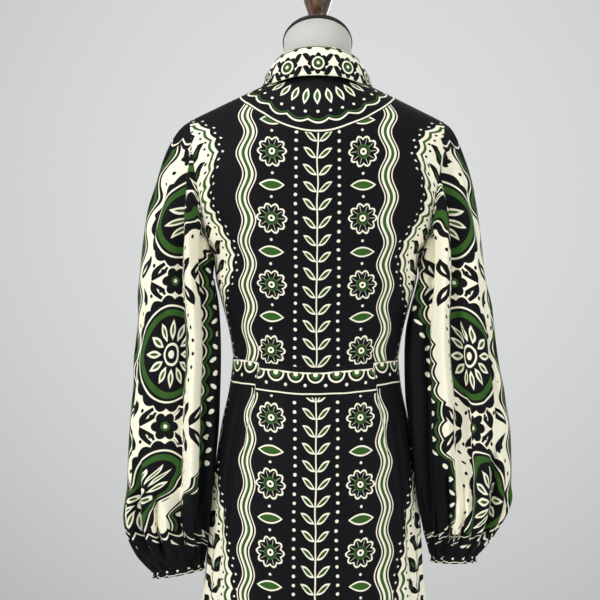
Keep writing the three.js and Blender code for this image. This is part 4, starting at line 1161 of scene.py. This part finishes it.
sleeve_cotton = cotton("printed_cotton_sleeve", sleeve_print, linear(205, 200, 180))
sleeve_ends = {}
for side_name, side, lift in (("left", -1, 0), ("right", 1, 24)):
    angles = np.linspace(-180, 180, SLEEVE_COLUMNS, endpoint=False)
    downs = [*np.linspace(0, SLEEVE_CAP, CAP_ROWS), *np.linspace(SLEEVE_CAP, 1, ARM_ROWS)[1:]]
    plain = sleeve_base(angles, downs, lift)
    along = np.array(downs)[:, None]
    drawn, levelled, lowered = WRIST_HANG[side_name]
    near_wrist = eased((along - WRIST_FROM) / WRIST_REACH)
    plain[..., 0] += (WRIST_OUTER - plain[..., 0]) * drawn * near_wrist
    plain[..., 2] += (cosine(angles) * levelled - lowered) * near_wrist
    height = plain[..., 2]
    risen = creases(SLEEVE_FOLDS[side_name], angles[None, :] % 360, height - lift, 360)
    down_arm = np.clip((along - SLEEVE_CAP) / (1 - SLEEVE_CAP), 0, 1)
    uneven = 1 + 0.45 * sine(3 * angles + 40) + 0.3 * sine(7 * angles)
    late = 0.06 * sine(5 * angles + 70)
    pleats = cosine(GATHERS * angles) + 0.45 * cosine(31 * angles + 50)
    risen = risen + GATHER_DEPTH * eased((down_arm - 0.7 + late) / 0.25) * pleats * uneven
    head_pleats = HEAD_DEPTH * sine(HEAD_GATHERS * angles) * bell(angles, HEAD_HALF)
    risen = risen + head_pleats * eased(along / 0.012) * (1 - eased(along / 0.12))
    risen = risen * eased(along / 0.03) - 0.7 * (1 - eased(along / 0.012))
    level_way = plain - plain.mean(1, keepdims=True)
    out = normals_of(plain, level_way, True)
    folded = plain + out * risen[..., None]
    in_arm = eased((along - SLEEVE_CAP * 0.75) / (SLEEVE_CAP * 0.25))[..., None]
    folded = mix(folded, kept_clear(folded, SLEEVE_TO_BODY - FOLD_TO_BODY), in_arm)
    plain = mix(plain, kept_clear(plain, SLEEVE_TO_BODY - FOLD_TO_BODY), in_arm)
    unrolled = [np.concatenate([grid, grid[:, :1]], 1) for grid in (folded, plain)]
    chart = chart_of(*unrolled, SLEEVE_COLUMNS // 2)
    chart[..., 1] += CAP_HEIGHT / 1000 - chart[[CAP_ROWS - 1], :, 1]
    level = height - lift
    for top, bottom, *path, taken in TUCKS[side_name]:
        middle = place_on(path, (top - level) / (top - bottom), level) + TUCK_BESIDE
        beyond = taken * eased((angles[None, :] - middle) / TUCK_EDGE + 0.5)
        let_out = 1 if bottom < GATHERED_BELOW else eased((level - bottom) / TUCK_END)
        beyond = beyond * eased((top - level) / TUCK_BEGIN) * let_out
        chart[:, :-1, 0] += beyond / 1000
        chart[:, -1, 0] += beyond[:, -1] / 1000
    inner = folded - normals_of(folded, level_way, True) * CLOTH
    mirror = np.array([side, 1, 1])
    sleeve = cloth_piece(
        f"sleeve_{side_name}_cloth", folded * mirror, inner * mirror, chart, sleeve_cotton, True
    )
    stands_for(sleeve, "cream_printed_cotton", f"sleeve_{side_name}")
    sleeve_ends[side_name] = (folded[-1], mirror)


# The cuffs: a short dark band of the print on each sleeve's end, folded over a hidden elastic
# that gathers the cloth round the wrist.
CUFF_HEIGHT, CUFF_WAIST, CUFF_CLOTH = 13, 1.5, CLOTH * 1.4
RIPPLES, EVENED = 37, 12


def cuff_print(x, y):
    dots = length(x.each(17), y - 6) - 1.8
    return printed(INK, (dots, CREAM), (abs(y - 11.6) - 0.6, CREAM))


cuff_cotton = cotton("printed_cotton_cuff", cuff_print, linear(96, 95, 90))
for side_name, (ring, mirror) in sleeve_ends.items():
    down = np.linspace(0, 1, 24)[:, None, None]
    away = unit((ring - ring.mean(0)) * (1, 1, 0))
    turn = np.linspace(-180, 180, SLEEVE_COLUMNS, endpoint=False)
    ripple = cosine(RIPPLES * turn + 30) * (0.55 + 0.3 * sine(5 * turn))
    swell = CUFF_WAIST * (4 * (down - 0.5) ** 2 - 1) + ripple[None, :, None] * down
    evened = sum(np.roll(ring, k, 0) for k in range(-EVENED, EVENED + 1)) / (2 * EVENED + 1)
    outer = mix(ring[None], evened[None], eased(down * 1.8)) + away[None] * swell
    outer[..., 2] -= (SEAM_GAP + 0.2 + CUFF_HEIGHT * down)[..., 0]
    unrolled = np.concatenate([outer, outer[:, :1]], 1)
    chart = chart_of(unrolled, unrolled, SLEEVE_COLUMNS // 2)
    inner = outer - away[None] * CUFF_CLOTH
    cuff = cloth_piece(
        f"cuff_{side_name}_band", outer * mirror, inner * mirror, chart, cuff_cotton, True
    )
    stands_for(cuff, "printed_cotton", f"cuff_{side_name}")


# The collar: a narrow stand sewn into the neckline, and a pointed leaf that folds down over it
# and lies on the shoulders. Both are two layers of the cream print, with a stitched edge.
COLLAR_CLOTH = 1.3
FOLD, EDGE = 1, 4  # first of the three columns of a point
# share of the way from the middle of the back to the front, the fold, the outer edge
COLLAR_ROWS = (
    (0.0, 0, -55, 462, 0, -63, 419.5), (0.16, 27, -49, 460, 33, -58, 418),
    (0.33, 50, -29, 454, 66, -38, 411), (0.5, 61, 4, 446, 83, 4, 412),
    (0.66, 53, 37, 427, 84, 40, 392), (0.83, 32, 61, 400, 72, 70, 350),
    (1.0, 5, 72, 380, 50, 92, 304),
)
FOLD_OUT, FOLD_THICK, LEAF_TILT = 2.2, 6.7, 49
COLLAR_ENDS, COLLAR_COLUMNS = 0.98, 241
COLLAR_MIDDLE = COLLAR_COLUMNS // 2
rounds = np.linspace(-COLLAR_ENDS, COLLAR_ENDS, COLLAR_COLUMNS)


def collar_point(part):
    """The fold line or the edge line of the collar, from its left end to its right end."""
    at = [read_table(COLLAR_ROWS, part + k, np.abs(rounds)) for k in range(3)]
    return np.stack([at[0] * np.sign(rounds), at[1], at[2]], 1)


def neckward(points):
    """The level way from each point to the middle of the neck."""
    return unit(np.stack([-points[:, 0], NECK_MIDDLE - points[:, 1], np.zeros(len(points))], 1))


def clear_of_bodice(points, clear):
    """Lifts points that would lie in the bodice until they are clear of it."""
    x, y, z = points.T
    deep = np.where(y < NECK_MIDDLE, body_size(BACK, z), body_size(FRONT, z))
    depth = section_depth(x, body_size(WIDE, z), deep)
    share = np.minimum(np.abs(y) / depth, 1)
    lid = shoulder_line(x) - SHOULDER_ROLL * (1 - np.sqrt(1 - share**2)) + clear * 1.3
    wall = depth * roll_share(shoulder_line(x) - z) + clear
    inside = (z < lid) & (np.abs(y) < wall)
    upward = inside & (lid - z < wall - np.abs(y))
    placed = points.copy()
    placed[upward, 2] = lid[upward]
    outward = inside & ~upward
    placed[outward, 1] = (np.sign(y) * wall)[outward]
    return placed


def collar_print(x, y):
    """Round flowers and leaves in turn along the collar, with a dark line at its fold."""
    away, turn = around(x.each(46), y - 34)
    flower = scalloped(away - 12, turn, 4, 4)
    leaf = leaf_pairs(y, abs((x - 23).each(46)), 14, 6, 19, 0.8)
    return printed(
        CREAM,
        (leaf, INK), (flower, INK), (abs(away - 8.5) - 1.3, CREAM), (away - 5.6, GREEN),
        (away - 2.4, CREAM), (abs(y - 3) - 3, INK), (abs(y - 8.6) - 1, GREEN),
    )


collar_cotton = cotton("printed_cotton_collar", collar_print, linear(205, 200, 180))
way_round = np.abs(rounds)
share = np.where(way_round <= 0.5, 2 * way_round, 2 - 2 * way_round) * TOP_NECK_SHARE
neckline = np.where(
    (way_round <= 0.5)[:, None],
    *(bodice_point(face, np.maximum(share, 1e-6), 1.0) for face in (BACK, FRONT)),
)
neckline[:, 0] *= np.sign(rounds)
fold_line, edge_line = collar_point(FOLD), collar_point(EDGE)
foot = neckline + neckward(neckline) * 0.9 + (0, 0, 0.6)
head = fold_line + neckward(fold_line) * 1.2 - (0, 0, 5)
stand_outer = np.array([mix(foot, head, up) for up in np.linspace(0, 1, 22)])
stand_inner = np.array([row + neckward(row) * COLLAR_CLOTH for row in stand_outer])
chart = chart_of(stand_outer, stand_outer, COLLAR_MIDDLE)
collar_stand = cloth_piece("collar_stand_band", stand_outer, stand_inner, chart, collar_cotton)
stands_for(collar_stand, "cream_printed_cotton", "collar_stand")

leaf_outer, leaf_inner = [], []
away = -neckward(fold_line)
top_of_fold = fold_line + away * FOLD_OUT
for rolled in np.linspace(1, 0, 9)[:-1]:
    over = math.sin(rolled * math.pi / 2)
    row = top_of_fold - away * FOLD_THICK * over
    row = row - (0, 0, 1.2 * (1 - math.cos(rolled * math.pi / 2)))
    leaf_outer.append(row + (0, 0, 0.9 * math.sin(rolled * math.pi)))
    tilt = math.radians(LEAF_TILT) * (1 - rolled)
    through = away * math.sin(tilt) + (0, 0, math.cos(tilt))
    leaf_inner.append(leaf_outer[-1] - through * COLLAR_CLOTH)
for down in np.linspace(0, 1, 44):
    row = mix(fold_line, edge_line, down)
    bulge = 3 * math.sin(math.pi * down) + FOLD_OUT * (1 - down)
    ripple = 0.8 * np.sin(rounds * 19 + 1) * down**2 * (1 - down) * 2
    stitch = -0.25 * bell((1 - down) * 48 - 6, 0.8)
    row = clear_of_bodice(row + away * (bulge + ripple + stitch)[:, None], COLLAR_CLOTH + 1.1)
    leaf_outer.append(row)
    leaf_inner.append(row - (away * 0.75 + (0, 0, 0.66)) * COLLAR_CLOTH)
leaf_outer, leaf_inner = np.array(leaf_outer), np.array(leaf_inner)
chart = chart_of(leaf_outer, leaf_outer, COLLAR_MIDDLE)
collar_leaf = cloth_piece("collar_leaf_fold", leaf_outer, leaf_inner, chart, collar_cotton)
stands_for(collar_leaf, "cream_printed_cotton", "collar_leaf")


# The front fastening: a double strip of the body print down the middle of the front, stitched
# along both edges, with twelve small buttons that pass through worked buttonholes in it.
STRIP_HALF, STRIP_TOP, STRIP_BOTTOM, STRIP_CLOTH = 15, 346, -SKIRT_LENGTH, 1.2
STRIP_LIFT = SEAM_GAP + 1.6 + 0.2
STRIP_COLUMNS, STRIP_ROWS = 25, 420
STITCH_IN, STITCH_DEPTH = 3, 0.3
BUTTON_RADIUS, BUTTON_THICK, BUTTON_STAND = 5.8, 2.6, 0.8
BUTTON_EDGE, DISH_ROWS, HOLE_OFF, HOLE_DEPTH = 1.2, 22, 1.15, 0.9
BUTTON_FIRST, BUTTON_SPACING = 330, 88
# how far each button is turned on its thread, in degrees, from the top one down
BUTTON_TURNS = (11, -20, 34, 3, -9, 27, -31, 16, -4, 40, 8, -15)
THREAD_ARCH = (-0.5, -0.15, 0.1, 0.18, 0.2, 0.18, 0.1, -0.15, -0.5)


def front_surface(x, height):
    """The dress's front at places near its middle."""
    body = body_depth(FRONT, x, np.maximum(height, 0))
    below = np.minimum(height, 0)
    skirt = section_depth(x, body_size(WIDE, below), body_size(FRONT, below))
    return np.where(height >= 0, body, skirt)


def strip_print(x, y):
    """The body print runs on across the strip, with a dark worked buttonhole at each button and a
    painted shade line in its cut.
    """
    cloth = inked(0 - y).over(skirt_print(x, y), bodice_print(x, y))
    height = x.place().part("Z") * 1000 - (WAIST + BUTTON_FIRST)
    slit = abs(height.each(BUTTON_SPACING))
    worked = x.max(0.0) - 1.3 + abs(height.wave(0.55)) * 0.2
    return printed(
        cloth,
        # painted shade: the near-black line along the middle of each buttonhole stands for the
        # shade in its cut; the dark grey round it is the buttonhole's thread
        (worked.max(slit - 7.6), linear(44, 44, 46)), ((x - 0.3).max(slit - 6.6), linear(6, 6, 7)),
    )


strip_cotton = cotton("printed_cotton_strip", strip_print, linear(96, 95, 90))
across, height = np.meshgrid(
    np.linspace(-STRIP_HALF, STRIP_HALF, STRIP_COLUMNS),
    np.linspace(STRIP_TOP, STRIP_BOTTOM, STRIP_ROWS),
)
strip = np.stack([across, front_surface(across, height), height], -1)
normal = normals_of(strip, np.broadcast_to((0.0, 1.0, 0.0), strip.shape))
edge_gap = STRIP_HALF - np.abs(across)
puckers = 0.12 * np.sin(height / 5.3) + 0.08 * np.sin(height / 3.1 + 2)
stitched = -STITCH_DEPTH * bell(edge_gap - STITCH_IN, 0.6)
outer = strip + normal * (STRIP_LIFT + puckers * (edge_gap < 4) + stitched)[..., None]
inner = strip + normal * (STRIP_LIFT - STRIP_CLOTH)
chart = chart_of(outer, strip, STRIP_COLUMNS // 2)
waist_row = int(np.argmin(np.abs(height[:, 0])))
chart[..., 1] = chart[[waist_row], :, 1] - chart[..., 1]
front_strip = cloth_piece("front_strip", outer, inner, chart, strip_cotton)
stands_for(front_strip, "printed_cotton", "front_placket")

horn, start, shader = finish_of("button_horn", 0.25, Coat_Weight=0.4, Coat_Roughness=0.1)
veins = start.place().vector("MULTIPLY", (260, 90, 160)).noise(2.0, 4.0)
feed(shader, Base_Color=veins.over(linear(20, 19, 18), linear(66, 60, 52)))
feed(shader, Roughness=veins * 0.15 + 0.2)
thread, start, shader = finish_of("button_thread", 0.8)
fibres = start.place().noise(900.0)
feed(shader, Base_Color=fibres.over(linear(22, 22, 24), linear(52, 52, 54)))

half = BUTTON_THICK / 2
flat_radius = BUTTON_RADIUS - BUTTON_EDGE
button_profile = [(r, -half) for r in np.linspace(0.3, flat_radius, 8)]
button_profile += [
    (flat_radius + BUTTON_EDGE * math.cos(a), (half - 0.1) * math.sin(a) - 0.05)
    for a in np.linspace(-math.pi / 2, math.pi / 2, 10)
]
button_profile += [(4.3, half - 0.35), (4.0, half - 0.75), (3.6, half - 0.95)]
button_profile += [(r, half - 1.0) for r in np.linspace(3.4, 0.15, DISH_ROWS)]
button_rings = turned_rings(button_profile, 72)
dish = button_rings[-DISH_ROWS:]
for hole_x, hole_y in ((1, 1), (-1, 1), (-1, -1), (1, -1)):
    off = np.hypot(dish[..., 0] - hole_x * HOLE_OFF, dish[..., 1] - hole_y * HOLE_OFF)
    dish[..., 2] -= HOLE_DEPTH * (1 - eased((off - 0.4) / 0.35))

shank = [(1.25, -half - BUTTON_STAND + 0.1), (1.1, -half - 0.4), (1.25, -half - 0.05)]
thread_rings = [turned_rings(shank, 20)]
bar_turn = np.linspace(0, 2 * math.pi, 10, endpoint=False)
for bar_y in (-HOLE_OFF, HOLE_OFF):
    thread_rings.append([
        [(x, bar_y + 0.3 * math.cos(a), half - 0.62 + lift + 0.25 * math.sin(a)) for a in bar_turn]
        for x, lift in zip(np.linspace(-1.3, 1.3, len(THREAD_ARCH)), THREAD_ARCH)
    ])
button_points, button_faces = closed_rings(button_rings)
horn_faces = len(button_faces)
for rings in thread_rings:
    points, faces = closed_rings(rings, len(button_points))
    button_points = np.vstack([button_points, points])
    button_faces += faces

for i, degrees in enumerate(BUTTON_TURNS):
    name = f"button_{i + 1:02d}"
    height = BUTTON_FIRST - BUTTON_SPACING * i
    low, high = (front_surface(0.0, np.float64(height + step)) for step in (-4, 4))
    normal = Vector((0, 8, low - high)).normalized()
    seat = Vector((0, front_surface(0.0, np.float64(height)), height + WAIST))
    mesh = bpy.data.meshes.new(f"{name}_horn")
    mesh.from_pydata((button_points / 1000).tolist(), [], button_faces)
    mesh.shade_smooth()
    mesh.set_sharp_from_angle(angle=math.radians(50))
    mesh.materials.append(horn)
    mesh.materials.append(thread)
    for face in mesh.polygons[horn_faces:]:
        face.material_index = 1
    button = added(f"{name}_horn", mesh)
    spin = Matrix.Rotation(math.radians(degrees), 3, "Z")
    button.matrix_world = Matrix.LocRotScale(
        (seat + normal * (STRIP_LIFT + BUTTON_STAND + half)) / 1000,
        Vector((0, 0, 1)).rotation_difference(normal).to_matrix() @ spin,
        None,
    )
    stands_for(button, "dark_button", name)
